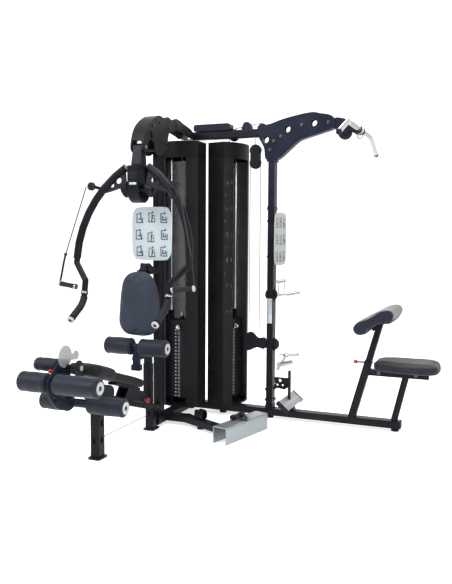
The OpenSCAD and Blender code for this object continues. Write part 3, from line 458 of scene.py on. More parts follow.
def finish_piece(o, mats, body, smooth=True, index=None):
    for m in ([mats] if isinstance(mats, str) else mats):
        o.data.materials.append(M[m])
    bm = bmesh.new()
    bm.from_mesh(o.data)
    bmesh.ops.recalc_face_normals(bm, faces=bm.faces)
    bm.to_mesh(o.data)
    bm.free()
    for f in o.data.polygons:
        f.use_smooth = smooth
        if index:
            f.material_index = index(f.center, f.normal)
    if smooth:
        o.data.set_sharp_from_angle(angle=math.radians(38))
    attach(o, body)


def axes(direction):
    """Two unit vectors square to a direction."""
    d = Vector(direction).normalized()
    side = Vector((0, 0, 1)) if abs(d.z) < 0.9 else Vector((1, 0, 0))
    a = side.cross(d).normalized()
    return a, d.cross(a)


def lathe(profile, at, direction, steps=40):
    """Verts and faces of a closed profile of (radius, distance) turned about a line."""
    d = Vector(direction).normalized()
    a, b = axes(d)
    verts, faces = [], []
    for r, h in profile:
        for k in range(steps):
            t = 2 * math.pi * k / steps
            verts.append(Vector(at) + d * h + (a * math.cos(t) + b * math.sin(t)) * r)
    rings = len(profile)
    for i in range(rings):
        for k in range(steps):
            j, m = (i + 1) % rings, (k + 1) % steps
            faces.append((i * steps + k, i * steps + m, j * steps + m, j * steps + k))
    return verts, faces


def tube(points, radius, steps=12, ends=True):
    """Verts and faces of a round tube through the points. radius may be one number or one per point."""
    pts = [Vector(p) for p in points]
    radii = radius if isinstance(radius, (list, tuple)) else [radius] * len(pts)
    verts = []
    a = None
    for i, p in enumerate(pts):
        d = (pts[min(i + 1, len(pts) - 1)] - pts[max(i - 1, 0)]).normalized()
        if a is None:
            a, b = axes(d)
        a = (a - d * a.dot(d)).normalized()
        b = d.cross(a)
        for k in range(steps):
            t = 2 * math.pi * k / steps
            verts.append(p + (a * math.cos(t) + b * math.sin(t)) * radii[i])
    return verts, skin(len(pts), steps, ends)


def spline(a, b, c, d, t):
    """The point at t on a Catmull-Rom curve between b and c."""
    return 0.5 * (2 * b + (c - a) * t + (2 * a - 5 * b + 4 * c - d) * t * t
                  + (3 * b - a - 3 * c + d) * t ** 3)


def skin(rings, n, caps=True):
    """Faces that join rings of n points each in order, with flat caps."""
    faces = [(i * n + k, i * n + (k + 1) % n, (i + 1) * n + (k + 1) % n, (i + 1) * n + k)
             for i in range(rings - 1) for k in range(n)]
    if caps:
        faces.append(tuple(range(n))[::-1])
        faces.append(tuple((rings - 1) * n + k for k in range(n)))
    return faces


def curve_points(points, per=6):
    """A smooth path through the points."""
    p = [Vector(q) for q in points]
    out = []
    for i in range(len(p) - 1):
        a, b, c, d = p[max(i - 1, 0)], p[i], p[i + 1], p[min(i + 2, len(p) - 1)]
        out += [spline(a, b, c, d, j / per) for j in range(per)]
    out.append(p[-1])
    return out


def merge(parts):
    """Joins lists of (verts, faces) into one."""
    verts, faces = [], []
    for v, f in parts:
        n = len(verts)
        verts += list(v)
        faces += [tuple(i + n for i in face) for face in f]
    return verts, faces


# A strap's cross-section in half widths and half thicknesses, slightly crowned
STRAP_SECTION = [(-1, -1), (-0.8, -1.15), (0.8, -1.15), (1, -1), (1, 1), (0.8, 1.15), (-0.8, 1.15), (-1, 1)]


def ribbon(points, across, width, thick):
    """A flat strap along the points, with its width along one vector."""
    pts = [Vector(p) for p in points]
    verts = []
    for i, p in enumerate(pts):
        d = (pts[min(i + 1, len(pts) - 1)] - pts[max(i - 1, 0)]).normalized()
        w = Vector(across)
        w = (w - d * w.dot(d)).normalized()
        up = d.cross(w)
        for s, t in STRAP_SECTION:
            verts.append(p + w * s * width / 2 + up * t * thick / 2)
    return verts, skin(len(pts), len(STRAP_SECTION))


def rounded_box(size, at, turn=None, r=0.003, seg=3):
    """Verts and faces of a box with rounded edges."""
    bm = bmesh.new()
    bmesh.ops.create_cube(bm, size=1.0)
    bmesh.ops.scale(bm, vec=size, verts=bm.verts)
    bmesh.ops.bevel(bm, geom=bm.edges[:], offset=min(r, min(size) * 0.45), segments=seg, profile=0.5,
                    affect="EDGES")
    m = Matrix.Translation(at) @ (turn.to_4x4() if turn else Matrix.Identity(4))
    verts = [m @ v.co for v in bm.verts]
    faces = [tuple(v.index for v in f.verts) for f in bm.faces]
    bm.free()
    return verts, faces


def extrude_outline(points, to_world, depth0, depth1, round_r=0.0, seg=4):
    """A closed outline swept between two depths, with its rims rounded inwards."""
    n = len(points)
    c = sum((Vector(p) for p in points), Vector((0, 0))) / n
    rings = []
    for side in (0, 1):
        d0, d1 = (depth0, depth1) if side == 0 else (depth1, depth0)
        sign = 1 if d1 > d0 else -1
        for k in range(seg + 1):
            a = math.pi / 2 * k / seg
            inset = round_r * (1 - math.sin(a))
            depth = d0 + sign * round_r * (1 - math.cos(a))
            ring = []
            for i, p in enumerate(points):
                t = (Vector(points[(i + 1) % n]) - Vector(points[i - 1])).normalized()
                inward = Vector((-t.y, t.x))
                if inward.dot(c - Vector(p)) < 0:
                    inward = -inward
                ring.append(to_world(Vector(p) + inward * inset, depth))
            rings.append(ring)
        if side == 0:
            first = rings
            rings = []
    rings = first + rings[::-1]
    return [v for ring in rings for v in ring], skin(len(rings), n)


def smooth_outline(points, per=6):
    """A smooth closed outline through the points."""
    out = []
    n = len(points)
    for i in range(n):
        a, b, c, d = (Vector(points[(i + k - 1) % n]) for k in range(4))
        out += [spline(a, b, c, d, j / per) for j in range(per)]
    return out


# ------------------------------------------------------------------ upholstery

SWELL_FRAMES = 20


def apply_all(o):
    """Bakes an object's modifiers into its mesh."""
    deps = bpy.context.evaluated_depsgraph_get()
    mesh = bpy.data.meshes.new_from_object(o.evaluated_get(deps))
    o.modifiers.clear()
    o.data = mesh


def swell(o, rest, pins, cap):
    """Blows a closed mesh up as cloth, with its backing pinned, by no more than cap."""
    held = [i for i, p in enumerate(rest) if pins(p)] if pins else []
    c = o.modifiers.new("cloth", "CLOTH")
    c.settings.quality = 5
    c.settings.mass = 0.35
    c.settings.tension_stiffness = c.settings.compression_stiffness = 22
    c.settings.shear_stiffness = 12
    c.settings.bending_stiffness = 2.5
    c.settings.use_pressure = True
    c.settings.uniform_pressure_force = 4.0
    c.settings.effector_weights.gravity = 0
    if held:
        o.vertex_groups.new(name="pin").add(held, 1.0, "REPLACE")
        c.settings.vertex_group_mass = "pin"
    c.collision_settings.use_collision = False
    c.collision_settings.use_self_collision = False
    c.point_cache.frame_start, c.point_cache.frame_end = 1, SWELL_FRAMES
    scene = bpy.context.scene
    for f in range(1, SWELL_FRAMES + 1):
        scene.frame_set(f)
    apply_all(o)
    scene.frame_set(1)
    for v, p in zip(o.data.vertices, rest):
        move = v.co - p
        if move.length > cap:
            v.co = p + move.normalized() * cap
    o.vertex_groups.clear()


def press_seams(o, seams):
    """Presses sewn seams in along the normals. Each seam is (distance from it, depth, width)."""
    o.data.update()
    normals = [v.normal.copy() for v in o.data.vertices]
    for v, nrm in zip(o.data.vertices, normals):
        for near, depth, width in seams:
            d = near(v.co)
            if d is not None and d < width * 3:
                v.co -= nrm * depth * math.exp(-(d / width) ** 2)


def padded(name, verts, faces, mats, body, node, cap=0.008, voxel=0.006, index=None,
           pins=None, seams=()):
    """A stuffed pad: remeshed, blown up as cloth with pinned backing, then given its sewn seams."""
    mesh = bpy.data.meshes.new(name)
    mesh.from_pydata([tuple(v) for v in verts], [], faces)
    mesh.update()
    o = bpy.data.objects.new(name, mesh)
    bpy.context.scene.collection.objects.link(o)
    bm = bmesh.new()
    bm.from_mesh(mesh)
    bmesh.ops.recalc_face_normals(bm, faces=bm.faces)
    bm.to_mesh(mesh)
    bm.free()
    r = o.modifiers.new("remesh", "REMESH")
    r.mode, r.voxel_size, r.use_smooth_shade = "VOXEL", voxel, True
    apply_all(o)
    s = o.modifiers.new("relax", "SMOOTH")
    s.iterations, s.factor = 4, 0.5
    apply_all(o)
    rest = [v.co.copy() for v in o.data.vertices]
    swell(o, rest, pins, cap)
    sub = o.modifiers.new("sub", "SUBSURF")
    sub.levels = sub.render_levels = 1
    apply_all(o)
    press_seams(o, seams)
    finish_piece(o, mats, body, True, index)
    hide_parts(node)
    return o


# Right half of the back pad's outline, from its bottom to its top, in metres from the pad's centre
BACK_HALF = [(0.090, -0.196), (0.138, -0.140), (0.146, -0.050), (0.136, 0.060), (0.112, 0.150),
             (0.066, 0.200)]
BACK_OUTLINE = ([(0, -0.205)] + [(-x, z) for x, z in BACK_HALF] + [(0, 0.210)] + BACK_HALF[::-1])


def to_back(p, depth):
    """From the back pad's outline plane to the frame."""
    return Vector((SX + p.x, depth, 0.848 + p.y))


outline = smooth_outline([(x * 0.972, z * 0.978) for x, z in BACK_OUTLINE])
BACK_FRONT, BACK_REAR, BACK_SEAM = -0.786, -0.7285, -0.7515
v, f = extrude_outline(outline, to_back, BACK_FRONT, BACK_REAR, 0.020, 5)
padded("back_cushion", v, f, ["back", "back_side"], "back_rest", "back_pad", cap=0.008,
       voxel=0.006, pins=lambda p: p.y > BACK_REAR - 0.006,
       seams=[(lambda p: abs(p.y - BACK_SEAM), 0.0022, 0.0030)],
       index=lambda c, n: 1 if c.y > BACK_SEAM else 0)


def to_seat(p, depth):
    """From the seat rail's sloping plane to the frame."""
    return on_incline((p.x, p.y, depth))


def rounded_rect(w, h, r, cy, per=8):
    """Outline of a rectangle with round corners, its centre at (0, cy)."""
    pts = []
    for cx, cyy, a0 in ((w / 2 - r, h / 2 - r, 0), (-w / 2 + r, h / 2 - r, 90), (-w / 2 + r, -h / 2 + r, 180),
                        (w / 2 - r, -h / 2 + r, 270)):
        for k in range(per + 1):
            a = math.radians(a0 + 90 * k / per)
            pts.append((cx + r * math.cos(a), cy + cyy + r * math.sin(a)))
    return pts


front = extrude_outline(rounded_rect(0.210, 0.246, 0.058, -0.935), to_seat, 0.0795, 0.143, 0.020, 5)
tail = extrude_outline(rounded_rect(0.108, 0.440, 0.028, -0.610), to_seat, 0.0795, 0.131, 0.018, 5)
v, f = merge([front, tail])


def seat_local(p):
    return Matrix.Rotation(SLOPE, 3, "X") @ (Vector(p) - INCLINE)


def seat_seam(p):
    q = seat_local(p)
    return abs(q.z - 0.100)


def seat_cross(p):
    q = seat_local(p)
    return abs(q.y + 0.812) if abs(q.x) < 0.07 and q.z > 0.1 else None


padded("seat_cushion", v, f, "seat", "seat", "seat_pad", cap=0.006, voxel=0.0055,
       pins=lambda p: seat_local(p).z < 0.086,
       seams=[(seat_seam, 0.0018, 0.0028), (seat_cross, 0.004, 0.005)])

bench = smooth_outline([(0.737, -0.076), (0.737, 0.076), (0.808, 0.123), (0.930, 0.144), (1.078, 0.140),
                        (1.140, 0.096), (1.146, 0.0), (1.140, -0.096), (1.078, -0.140), (0.930, -0.144),
                        (0.808, -0.123)])
BENCH_LOW, BENCH_HIGH, BENCH_SEAM = 0.4075, 0.470, 0.4545
v, f = extrude_outline(bench, lambda p, d: Vector((p.x, p.y, d)), BENCH_LOW, BENCH_HIGH, 0.022, 5)
padded("bench_cushion", v, f, ["bench_top", "bench_side"], "frame", "bench_seat",
       cap=0.007, voxel=0.0065, pins=lambda p: p.z < BENCH_LOW + 0.0065,
       seams=[(lambda p: abs(p.z - BENCH_SEAM), 0.0020, 0.0030)],
       index=lambda c, n: 0 if c.z > BENCH_SEAM and n.z > 0.1 else 1)

# Curl pad: its end outline (x, z), drawn in a little to leave room for the swelling
CURL_END = [(0.612, 0.690), (0.625, 0.657), (0.658, 0.645), (0.692, 0.662), (0.726, 0.698), (0.760, 0.725),
            (0.800, 0.737), (0.848, 0.737), (0.876, 0.758), (0.885, 0.795), (0.866, 0.819), (0.838, 0.823),
            (0.786, 0.809), (0.712, 0.768), (0.640, 0.728)]
CURL_MIDDLE = Vector((0.749, 0.738))
CURL_HALF, CURL_SEAM = 0.217, 0.206
curl = smooth_outline([CURL_MIDDLE + (Vector(q) - CURL_MIDDLE) * 0.955 for q in CURL_END])
v, f = extrude_outline(curl, lambda p, d: Vector((p.x, d, p.y)), -CURL_HALF, CURL_HALF, 0.012, 4)
padded("curl_cushion", v, f, ["curl_top", "curl_side"], "preacher", "preacher_pad",
       cap=0.006, voxel=0.006,
       seams=[(lambda p: abs(abs(p.y) - CURL_SEAM), 0.0020, 0.0028)],
       index=lambda c, n: 1 if abs(c.y) > CURL_SEAM or n.z < -0.35 else 0)


def roller(name, axis, x0, x1, r, node, cap_x, sign):
    """A moulded foam roller with a vinyl skin, its stitched end gathers and its end cap."""
    bore = 0.0135
    length = x1 - x0
    steps = 56
    e = 0.016
    profile = [(bore, 0.0015)]
    for k in range(9):
        a = math.pi / 2 * k / 8
        profile.append((r - e + e * math.sin(a), e - e * math.cos(a)))
    rows = max(8, int(length / 0.012))
    for k in range(1, rows):
        t = k / rows
        crown = -0.0012 * math.cos(2 * math.pi * t)
        profile.append((r + crown - 0.0008, e + (length - 2 * e) * t))
    for k in range(9):
        a = math.pi / 2 * k / 8
        profile.append((r - e + e * math.cos(a), length - e + e * math.sin(a)))
    profile.append((bore, length - 0.0015))
    v, f = lathe(profile, (x0, axis[0], axis[1]), (1, 0, 0), steps)
    out = []
    for p in v:
        rad = Vector((0, p.y - axis[0], p.z - axis[1]))
        t = (p.x - x0) / length
        turn = math.atan2(rad.z, rad.y)
        # Gathers near the ends and a slight flat where the foam has been pressed
        edge = math.exp(-((min(t, 1 - t) * length - 0.012) / 0.010) ** 2)
        pucker = 0.0008 * edge * math.sin(turn * 18)
        lump = 0.0007 * math.sin(turn * 3 + x0 * 40) * math.sin(math.pi * t)
        press = -0.0012 * max(0.0, math.cos(turn - 2.0)) ** 3 * math.sin(math.pi * t)
        if rad.length > bore * 1.2:
            p = p + rad.normalized() * (pucker + lump + press)
        out.append(p)
    o = add(name, out, f, "roller", node)
    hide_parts(node)
    ring = [(0.013, 0.0), (0.032, 0.0), (0.034, 0.0012), (0.034, 0.0032), (0.031, 0.0048),
            (0.020, 0.0054), (0.016, 0.0045), (0.013, 0.003)]
    v, f = lathe(ring, (cap_x, axis[0], axis[1]), (sign, 0, 0), 40)
    add(f"{name}_cap_0", v, f, "cap", node)
    plug = [(0.0001, -0.001), (0.0126, -0.001), (0.0126, 0.0028), (0.009, 0.0044), (0.0001, 0.0046)]
    v, f = lathe(plug, (cap_x, axis[0], axis[1]), (sign, 0, 0), 28)
    add(f"{name}_plug_0", v, f, "cap_dark", node)


# Each foam roller: name, node, axis (y, z), its two ends from the station's middle, radius. The cap is on
# the end that is farther out.
KNEE, ANKLE, HOLD, THIGH = (-1.600, 0.500), (-1.392, 0.352), (-1.500, 0.578), (-0.790, 0.580)
ROLLERS = [
    ("knee_roller_left", "knee_rollers", KNEE, -0.250, -0.076, 0.055),
    ("knee_roller_right", "knee_rollers", KNEE, -0.026, 0.242, 0.055),
    ("ankle_roller_left", "ankle_rollers", ANKLE, -0.266, -0.082, 0.052),
    ("ankle_roller_right", "ankle_rollers", ANKLE, 0.040, 0.270, 0.052),
    ("hold_down_foam", "hold_down_roller", HOLD, -0.220, -0.080, 0.038),
    ("thigh_roller_right", "thigh_rollers", THIGH, 0.028, 0.216, 0.055),
    ("thigh_roller_left", "thigh_rollers", THIGH, -0.216, -0.028, 0.055),
]
for name, node, axis, x0, x1, r in ROLLERS:
    sign = 1 if x1 > -x0 else -1
    roller(name, axis, SX + x0, SX + x1, r, node, SX + (x1 if sign > 0 else x0), sign)


# ------------------------------------------------------------------ handles and grips

def mirrored(points):
    """The points on the other side of the press station."""
    return [Vector((2 * SX - p[0], p[1], p[2])) for p in points]


for side, flip in (("right", False), ("left", True)):
    def place(pts):
        w = [Vector((SX + p[0], p[1], p[2])) for p in pts]
        return mirrored(w) if flip else w

    body = f"{side}_arm"
    # Foam sleeve over the press handle, with a moulded lip at each end
    path = curve_points(place([(0.2937, -0.9305, 0.896), (0.2925, -0.9475, 0.868), (0.2920, -0.972, 0.842),
                               (0.2908, -1.010, 0.8175), (0.2893, -1.068, 0.7808)]), 8)
    count = len(path)
    radii = [0.0215 + 0.0008 * math.sin(i * 1.9) + (0.0015 if i in (0, 1, count - 1) else 0)
             for i in range(count)]
    v, f = tube(path, radii, 28)
    add(f"{side}_press_grip", v, f, "rubber", body)
    end = place([(0.289, -1.077, 0.775)])[0]
    way = (end - place([(0.292, -0.962, 0.848)])[0]).normalized()
    ring = [(0.010, 0.009), (0.0195, 0.009), (0.0228, 0.011), (0.0232, 0.0165), (0.0205, 0.0205),
            (0.0150, 0.0218), (0.0105, 0.0205)]
    v, f = lathe(ring, end - way * 0.004, way, 36)
    add(f"{side}_press_end_ring", v, f, "cap", body)
    plug = [(0.0001, 0.008), (0.0106, 0.008), (0.0106, 0.0165), (0.007, 0.0182), (0.0001, 0.0185)]
    v, f = lathe(plug, end - way * 0.004, way, 28)
    add(f"{side}_press_end_plug", v, f, "cap_dark", body)
    collar = place([(0.294, -0.9225, 0.936), (0.294, -0.9275, 0.912)])
    d = collar[1] - collar[0]
    band = [(0.0205, 0.0), (0.0232, 0.0), (0.0245, 0.002), (0.0245, 0.010), (0.0232, 0.012), (0.0205, 0.012)]
    v, f = lathe(band, collar[0] + d * 0.25, d, 36)
    add(f"{side}_press_collar", v, f, "chrome", body)

    # Fly handle: dark cable, ball end, webbing and grip
    fly = f"{side}_fly"
    node = f"{side}_fly_handle"
    line = place([(0.322, -0.852, 1.584), (0.438, -0.916, 1.160)])
    v, f = tube([line[0].lerp(line[1], t / 12) for t in range(13)], 0.0034, 12)
    o = add(f"{side}_fly_cable", v, f, "dark_cable", fly)
    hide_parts(node)
    at = line[1]
    d = (line[1] - line[0]).normalized()
    ball = [(0.0001, -0.012), (0.0050, -0.011), (0.0092, -0.006), (0.0100, 0.0), (0.0092, 0.006),
            (0.0050, 0.010), (0.0001, 0.0105)]
    v, f = lathe(ball, at, d, 24)
    add(f"{side}_fly_ball", v, f, "rubber", fly)
    strap = place([(0.438, -0.918, 1.156), (0.449, -0.924, 1.100), (0.460, -0.931, 1.030),
                   (0.4685, -0.9355, 0.990)])
    v, f = ribbon(curve_points(strap, 6), Vector((0, 1, 0)), 0.018, 0.0030)
    add(f"{side}_fly_strap", v, f, "strap", fly)
    grip = place([(0.458, -0.9381, 0.9750), (0.342, -0.9604, 0.9629)])
    span = grip[1] - grip[0]
    n = 22
    pts = [grip[0] + span * (k / n) for k in range(n + 1)]
    v, f = tube(pts, [0.0150 + 0.0009 * math.cos(2 * math.pi * k / n * 1.0) + (0.0006 if k % 2 else 0)
                      for k in range(n + 1)], 28)
    add(f"{side}_fly_grip", v, f, "rubber", fly)
    for j, (where, sign) in enumerate(((grip[0], -1), (grip[1], 1))):
        w = span.normalized() * sign
        disc = [(0.0001, -0.001), (0.0150, -0.001), (0.0182, 0.0015), (0.0190, 0.006), (0.0178, 0.011),
                (0.0120, 0.0135), (0.0080, 0.0125), (0.0001, 0.0120)]
        v, f = lathe(disc, where, w, 32)
        add(f"{side}_fly_ring_{j}", v, f, "cap" if j == 0 else "chrome", fly)

# Plain ring, dot and blank plate on the hub band
hub_front = -0.8302
v, f = lathe([(0.0150, 0.0), (0.0220, 0.0), (0.0235, 0.0012), (0.0220, 0.0026), (0.0150, 0.0026),
              (0.0138, 0.0012)], (SX, hub_front, 1.652), (0, -1, 0), 48)
add("hub_emblem_ring", v, f, "slate", "press_head")
v, f = lathe([(0.0001, 0.0), (0.0085, 0.0), (0.0092, 0.0010), (0.0080, 0.0020), (0.0001, 0.0022)],
             (SX, hub_front, 1.652), (0, -1, 0), 32)
add("hub_emblem_dot", v, f, "slate", "press_head")
v, f = rounded_box((0.050, 0.0016, 0.014), (SX, hub_front - 0.0006, 1.600), r=0.0006)
add("hub_blank_plate", v, f, "brushed", "press_head")

# Column label: a plain brushed plate
v, f = rounded_box((0.036, 0.0012, 0.173), (0.0, -0.0381, 0.7615), r=0.0005)
add("column_label", v, f, "brushed", "frame")


# ------------------------------------------------------------------ stacks

for i, (side, turn) in enumerate((("left", 0.0), ("right", RIGHT_TURN))):
    spin = Matrix.Rotation(turn, 3, "Z")
    parts = []
    for k in range(PLATES):
        z = STACK_BOTTOM + (k + 0.5) * PLATE_T
        at = tower_world(i, (-0.026, -0.0523, z))
        parts.append(rounded_box((0.011, 0.0010, 0.009), at, spin, r=0.0004, seg=2))
        # Pale ring round each pin hole: a painted highlight on the hole's rim, not a part
        v, f = lathe([(0.0062, 0.0), (0.0086, 0.0), (0.0086, 0.0008), (0.0062, 0.0008)],
                     tower_world(i, (0, -0.0520, z)), spin @ Vector((0, -1, 0)), 20)
        parts.append((v, f))
    v, f = merge(parts)
    add(f"{side}_plate_stickers_and_rim_highlights", v, f, "mark", "frame")
    # Lift cable from the head plate up to the top, a straight tube with a mesh of its own
    base = tower_world(i, (0, 0, 0.705))
    top = tower_world(i, (0, 0, 1.985))
    n = 24
    v, f = tube([base.lerp(top, k / n) for k in range(n + 1)], 0.0029, 14)
    o = add(f"{side}_lift_wire", v, f, "cable", "frame")
    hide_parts(f"{side}_lift_cable")
    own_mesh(o)
    # Clevis nut on the head plate
    v, f = lathe([(0.0040, 0.0), (0.0115, 0.0), (0.0120, 0.002), (0.0120, 0.012), (0.0085, 0.017),
                  (0.0070, 0.030), (0.0040, 0.032)], tower_world(i, (0, 0, 0.705)), (0, 0, 1), 30)
    add(f"{side}_cable_nut", v, f, "zinc", f"{side}_stack")
    # Spring washers on the rods above the head plate
    for j, x in enumerate((-0.085, 0.085)):
        prof = [(0.0133, 0.0)]
        for k in range(7):
            prof += [(0.0165, 0.002 + k * 0.005), (0.0205, 0.0045 + k * 0.005)]
        prof += [(0.0165, 0.038), (0.0133, 0.038)]
        v, f = lathe(prof, tower_world(i, (x, 0, 0.7095)), (0, 0, 1), 32)
        add(f"{side}_rod_bumper_{j}", v, f, "foot", f"{side}_stack")
    # Pale ring on the selector pin's knob
    at = tower_world(i, (0, -(0.052 + 0.031), 0.6325))
    v, f = lathe([(0.0001, 0.0), (0.0088, 0.0), (0.0095, 0.0010), (0.0080, 0.0030), (0.0001, 0.0034)], at,
                 spin @ Vector((0, -1, 0)), 28)
    add(f"{side}_pin_cap", v, f, "white", f"{side}_pin")


# ------------------------------------------------------------------ placards

def pictogram(kind, u, v):
    """A simple drawing of a machine with its user, as boxes (centre, size) round a point."""
    shapes = [(u - 0.020, v - 0.004, 0.007, 0.056), (u + 0.002, v - 0.032, 0.050, 0.007),
              (u - 0.006, v + 0.024, 0.034, 0.006), (u + 0.022, v - 0.014, 0.006, 0.030)]
    body = [[(0.004, -0.010, 0.026, 0.009), (0.010, 0.006, 0.009, 0.026), (0.016, -0.022, 0.006, 0.016)],
            [(0.006, 0.000, 0.012, 0.030), (0.014, 0.010, 0.020, 0.005), (0.002, -0.020, 0.008, 0.018)],
            [(0.002, -0.016, 0.030, 0.008), (-0.006, -0.002, 0.009, 0.024), (0.012, -0.006, 0.006, 0.022)]]
    return shapes + [(u + a, v + b, w, h) for a, b, w, h in body[kind % 3]]


def print_on(name, to_world, spots, turn):
    parts = []
    for k, (u, v) in enumerate(spots):
        for a, b, w, h in pictogram(k, u, v):
            parts.append(rounded_box((w, 0.0006, h), to_world(a, b), turn, r=0.0002, seg=1))
        c = to_world(u + 0.009, v + 0.029)
        ring = [(0.0001, 0.0), (0.0062, 0.0), (0.0062, 0.0005), (0.0001, 0.0005)]
        parts.append(lathe(ring, c, turn @ Vector((0, -1, 0)), 20))
    vv, ff = merge(parts)
    add(name, vv, ff, "print", "frame", smooth=False)


print_on("placard_print_front", lambda a, b: Vector((SX + a, -0.5882, 1.294 + b)),
         [(-0.088, 0.104), (0.0, 0.108), (0.088, 0.104), (-0.094, -0.004), (-0.006, -0.020), (0.092, -0.004),
          (-0.088, -0.112), (0.0, -0.118), (0.088, -0.112)], Matrix.Identity(3))
side_turn = Matrix.Rotation(math.radians(90), 3, "Z")
print_on("placard_print_side", lambda a, b: Vector((0.0622, a, 1.262 + b)),
         [(-0.078, 0.112), (0.0, 0.116), (0.078, 0.112), (-0.080, 0.0), (0.004, -0.006), (0.080, 0.0),
          (-0.078, -0.118), (0.0, -0.122), (0.078, -0.118)], side_turn)


def standoff(length):
    """Start of the profile of a round post of this length, up to the rim of its screw head."""
    return [(0.0001, 0.0), (0.0055, 0.0), (0.0055, length), (0.0085, length + 0.0002)]


# Standoffs that hold the placards
for k, (x, z) in enumerate(((-0.016, 1.40), (0.016, 1.40), (-0.016, 1.19), (0.016, 1.19))):
    v, f = lathe(standoff(0.0560) + [(0.0085, 0.0612), (0.0060, 0.0632), (0.0001, 0.0634)],
                 (SX + x, -0.5275, z), (0, -1, 0), 24)
    add(f"placard_standoff_{k}", v, f, "zinc", "frame")
for k, z in enumerate((1.385, 1.139)):
    v, f = lathe(standoff(0.0340) + [(0.0085, 0.0398), (0.0060, 0.0418), (0.0001, 0.0420)],
                 (0.0230, 0.0, z), (1, 0, 0), 24)
    add(f"side_placard_standoff_{k}", v, f, "bolt", "frame")
    inner = [Vector(p) for p in rounded_rect(0.0464, 0.0754, 0.008, 0.0, 4)]
    outer = [Vector(p) for p in rounded_rect(0.0540, 0.0830, 0.010, 0.0, 4)]
    n = len(inner)
    verts = [Vector((p.x, p.y, z + h)) for p, h in
             [(q, -0.006) for q in inner] + [(q, -0.006) for q in outer] + [(q, 0.006) for q in outer]
             + [(q, 0.006) for q in inner]]
    faces = [(r * n + j, r * n + (j + 1) % n, ((r + 1) % 4) * n + (j + 1) % n, ((r + 1) % 4) * n + j)
             for r in range(4) for j in range(n)]
    add(f"side_placard_clamp_{k}", verts, faces, "frame", "frame")


# ------------------------------------------------------------------ row footplate strap and clip

plate_turn = Matrix.Rotation(math.radians(-14), 3, "Z")


def on_plate(x, y, z):
    return plate_turn @ Vector((x, y, 0)) + Vector((-0.024, -0.514, z))


v, f = lathe([(0.0040, 0.0), (0.0148, 0.0), (0.0150, 0.003), (0.0128, 0.006)]
             + [(0.0128 + 0.0007 * (k % 2), 0.008 + k * 0.0057) for k in range(21)]
             + [(0.0128, 0.124), (0.0150, 0.127), (0.0148, 0.130), (0.0040, 0.130)],
             on_plate(-0.034, -0.060, 0.1260), plate_turn @ Vector((0, 1, 0)), 32)
o = add("row_strap_grip", v, f, "rubber", "frame")
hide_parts("row_strap")
for k, (y, to) in enumerate(((-0.040, 0.004), (0.040, 0.016))):
    path = curve_points([on_plate(-0.034, y - 0.012 + 0.006, 0.1420), on_plate(-0.015, y, 0.1360),
                         on_plate(0.012, y + (to - y) * 0.35, 0.1190),
                         on_plate(0.034, y + (to - y) * 0.7, 0.1150),
                         on_plate(0.049, to, 0.1140)], 6)
    v, f = ribbon(path, plate_turn @ Vector((0, 1, 0)), 0.022, 0.0030)
    add(f"row_strap_web_{k}", v, f, "strap", "frame")
    v, f = ribbon([on_plate(-0.034 + 0.0155 * math.cos(t), y - 0.006, 0.1260 + 0.0155 * math.sin(t))
                   for t in [2 * math.pi * s / 20 for s in range(19)]], plate_turn @ Vector((0, 1, 0)),
                  0.022, 0.0024)
    add(f"row_strap_loop_{k}", v, f, "strap", "frame")
ring_at = on_plate(0.050, 0.012, 0.1155)
loop = [ring_at + plate_turn @ Vector((0.012 * math.cos(t), 0.014 * math.sin(t), 0)) for t in
        [2 * math.pi * k / 28 for k in range(29)]]
v, f = tube(loop, 0.0024, 10, ends=False)
add("row_strap_ring", v, f, "chrome", "frame")

# ------------------------------------------------------------------ small fittings

# Lat bar end caps
for s in (-1, 1):
    end = Vector((0.598, s * 0.620, 1.880))
    way = (end - Vector((0.598, s * 0.372, 1.978))).normalized()
    v, f = lathe([(0.0152, -0.022), (0.0164, -0.0205), (0.0164, -0.002), (0.0150, 0.0012), (0.0001, 0.0020),
                  (0.0001, -0.010)], end, way, 36)
    add(f"lat_bar_tip_{'left' if s > 0 else 'right'}", v, f, "rubber", "lat_bar")

# Index marks on the seat rail's adjusting scale
parts = []
for k in range(7):
    at = on_incline((0.0255, -0.330 - k * 0.020, -0.006))
    parts.append(rounded_box((0.0008, 0.003, 0.010), at, Matrix.Rotation(-SLOPE, 3, "X"), r=0.0003, seg=1))
v, f = merge(parts)
add("seat_scale_marks", v, f, "white", "frame", smooth=False)


# ------------------------------------------------------------------ floor, light, camera

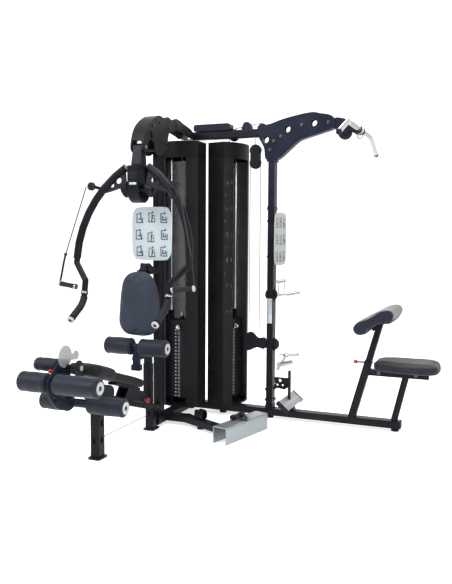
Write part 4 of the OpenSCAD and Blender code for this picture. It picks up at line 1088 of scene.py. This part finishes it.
def stage_floor():
    mesh = bpy.data.meshes.new("floor")
    verts, faces = [], []
    # A floor that sweeps up behind the machine
    rows = []
    for k in range(41):
        t = k / 40
        y = -9.0 + 13.0 * min(1.0, t / 0.62)
        z = 0.0
        if t > 0.62:
            a = (t - 0.62) / 0.38 * math.pi / 2
            y = 4.0 + 4.0 * math.sin(a)
            z = 4.0 * (1 - math.cos(a))
        rows.append((y, z))
    rows.append((8.0, 9.0))
    for y, z in rows:
        for x in (-12.0, 12.0):
            verts.append((x, y, z))
    for k in range(len(rows) - 1):
        faces.append((2 * k, 2 * k + 1, 2 * k + 3, 2 * k + 2))
    mesh.from_pydata(verts, [], faces)
    for poly in mesh.polygons:
        poly.use_smooth = True
    o = bpy.data.objects.new("floor", mesh)
    bpy.context.scene.collection.objects.link(o)
    n = Nodes("floor_white")
    grain = n.noise(3.0, 3.0)
    n.set(base=n.mix(grain, (0.70, 0.70, 0.70), (0.74, 0.74, 0.74)), rough=0.9, spec=0.0)
    n.bsdf.inputs["Emission Color"].default_value = (1.0, 1.0, 1.0, 1.0)
    n.bsdf.inputs["Emission Strength"].default_value = 0.62
    mesh.materials.append(n.mat)


stage_floor()


def area(name, at, look, size, power):
    """An area lamp at one point that faces another."""
    lamp = bpy.data.lights.new(name, "AREA")
    lamp.shape, lamp.size, lamp.size_y = "RECTANGLE", size[0], size[1]
    lamp.energy = power
    o = bpy.data.objects.new(name, lamp)
    bpy.context.scene.collection.objects.link(o)
    o.location = at
    o.rotation_euler = (Vector(look) - Vector(at)).to_track_quat("-Z", "Y").to_euler()


area("key", (-2.6, -4.2, 4.2), (-0.2, -0.4, 0.9), (2.2, 2.2), 150)
area("fill", (4.4, -3.4, 2.6), (0, 0, 1.0), (2.6, 2.6), 95)
area("top", (0.2, -0.6, 5.2), (0, -0.2, 0.5), (3.4, 3.4), 170)
area("rim", (-1.5, 3.2, 3.6), (-0.2, 0, 1.0), (3.0, 2.0), 90)
world = bpy.data.worlds.new("studio")
world.use_nodes = True
world.node_tree.nodes["Background"].inputs[0].default_value = (1.0, 1.0, 1.0, 1.0)
world.node_tree.nodes["Background"].inputs[1].default_value = 0.55
bpy.context.scene.world = world
bpy.context.scene.view_settings.view_transform = "Standard"

CAMERA_AT = (1.517, -4.582, 1.290)
LENS_MM = 42.534
AZ, PITCH, ROLL = math.radians(22.1), math.radians(4.75), math.radians(0.33)
ahead = Vector((-math.sin(AZ), math.cos(AZ), 0))
right = Vector((math.cos(AZ), math.sin(AZ), 0))
up = Vector((0, 0, 1))
forward = math.cos(PITCH) * ahead - math.sin(PITCH) * up
over = math.sin(PITCH) * ahead + math.cos(PITCH) * up
cam_x = math.cos(ROLL) * right + math.sin(ROLL) * over
cam_y = -math.sin(ROLL) * right + math.cos(ROLL) * over
lens = bpy.data.cameras.new("camera")
lens.sensor_width = 36.0
lens.lens = LENS_MM
lens.clip_end = 60.0
camera = bpy.data.objects.new("camera", lens)
bpy.context.scene.collection.objects.link(camera)
camera.matrix_world = Matrix.Translation(CAMERA_AT) @ Matrix(
    (cam_x, cam_y, -forward)).transposed().to_4x4()
bpy.context.scene.camera = camera
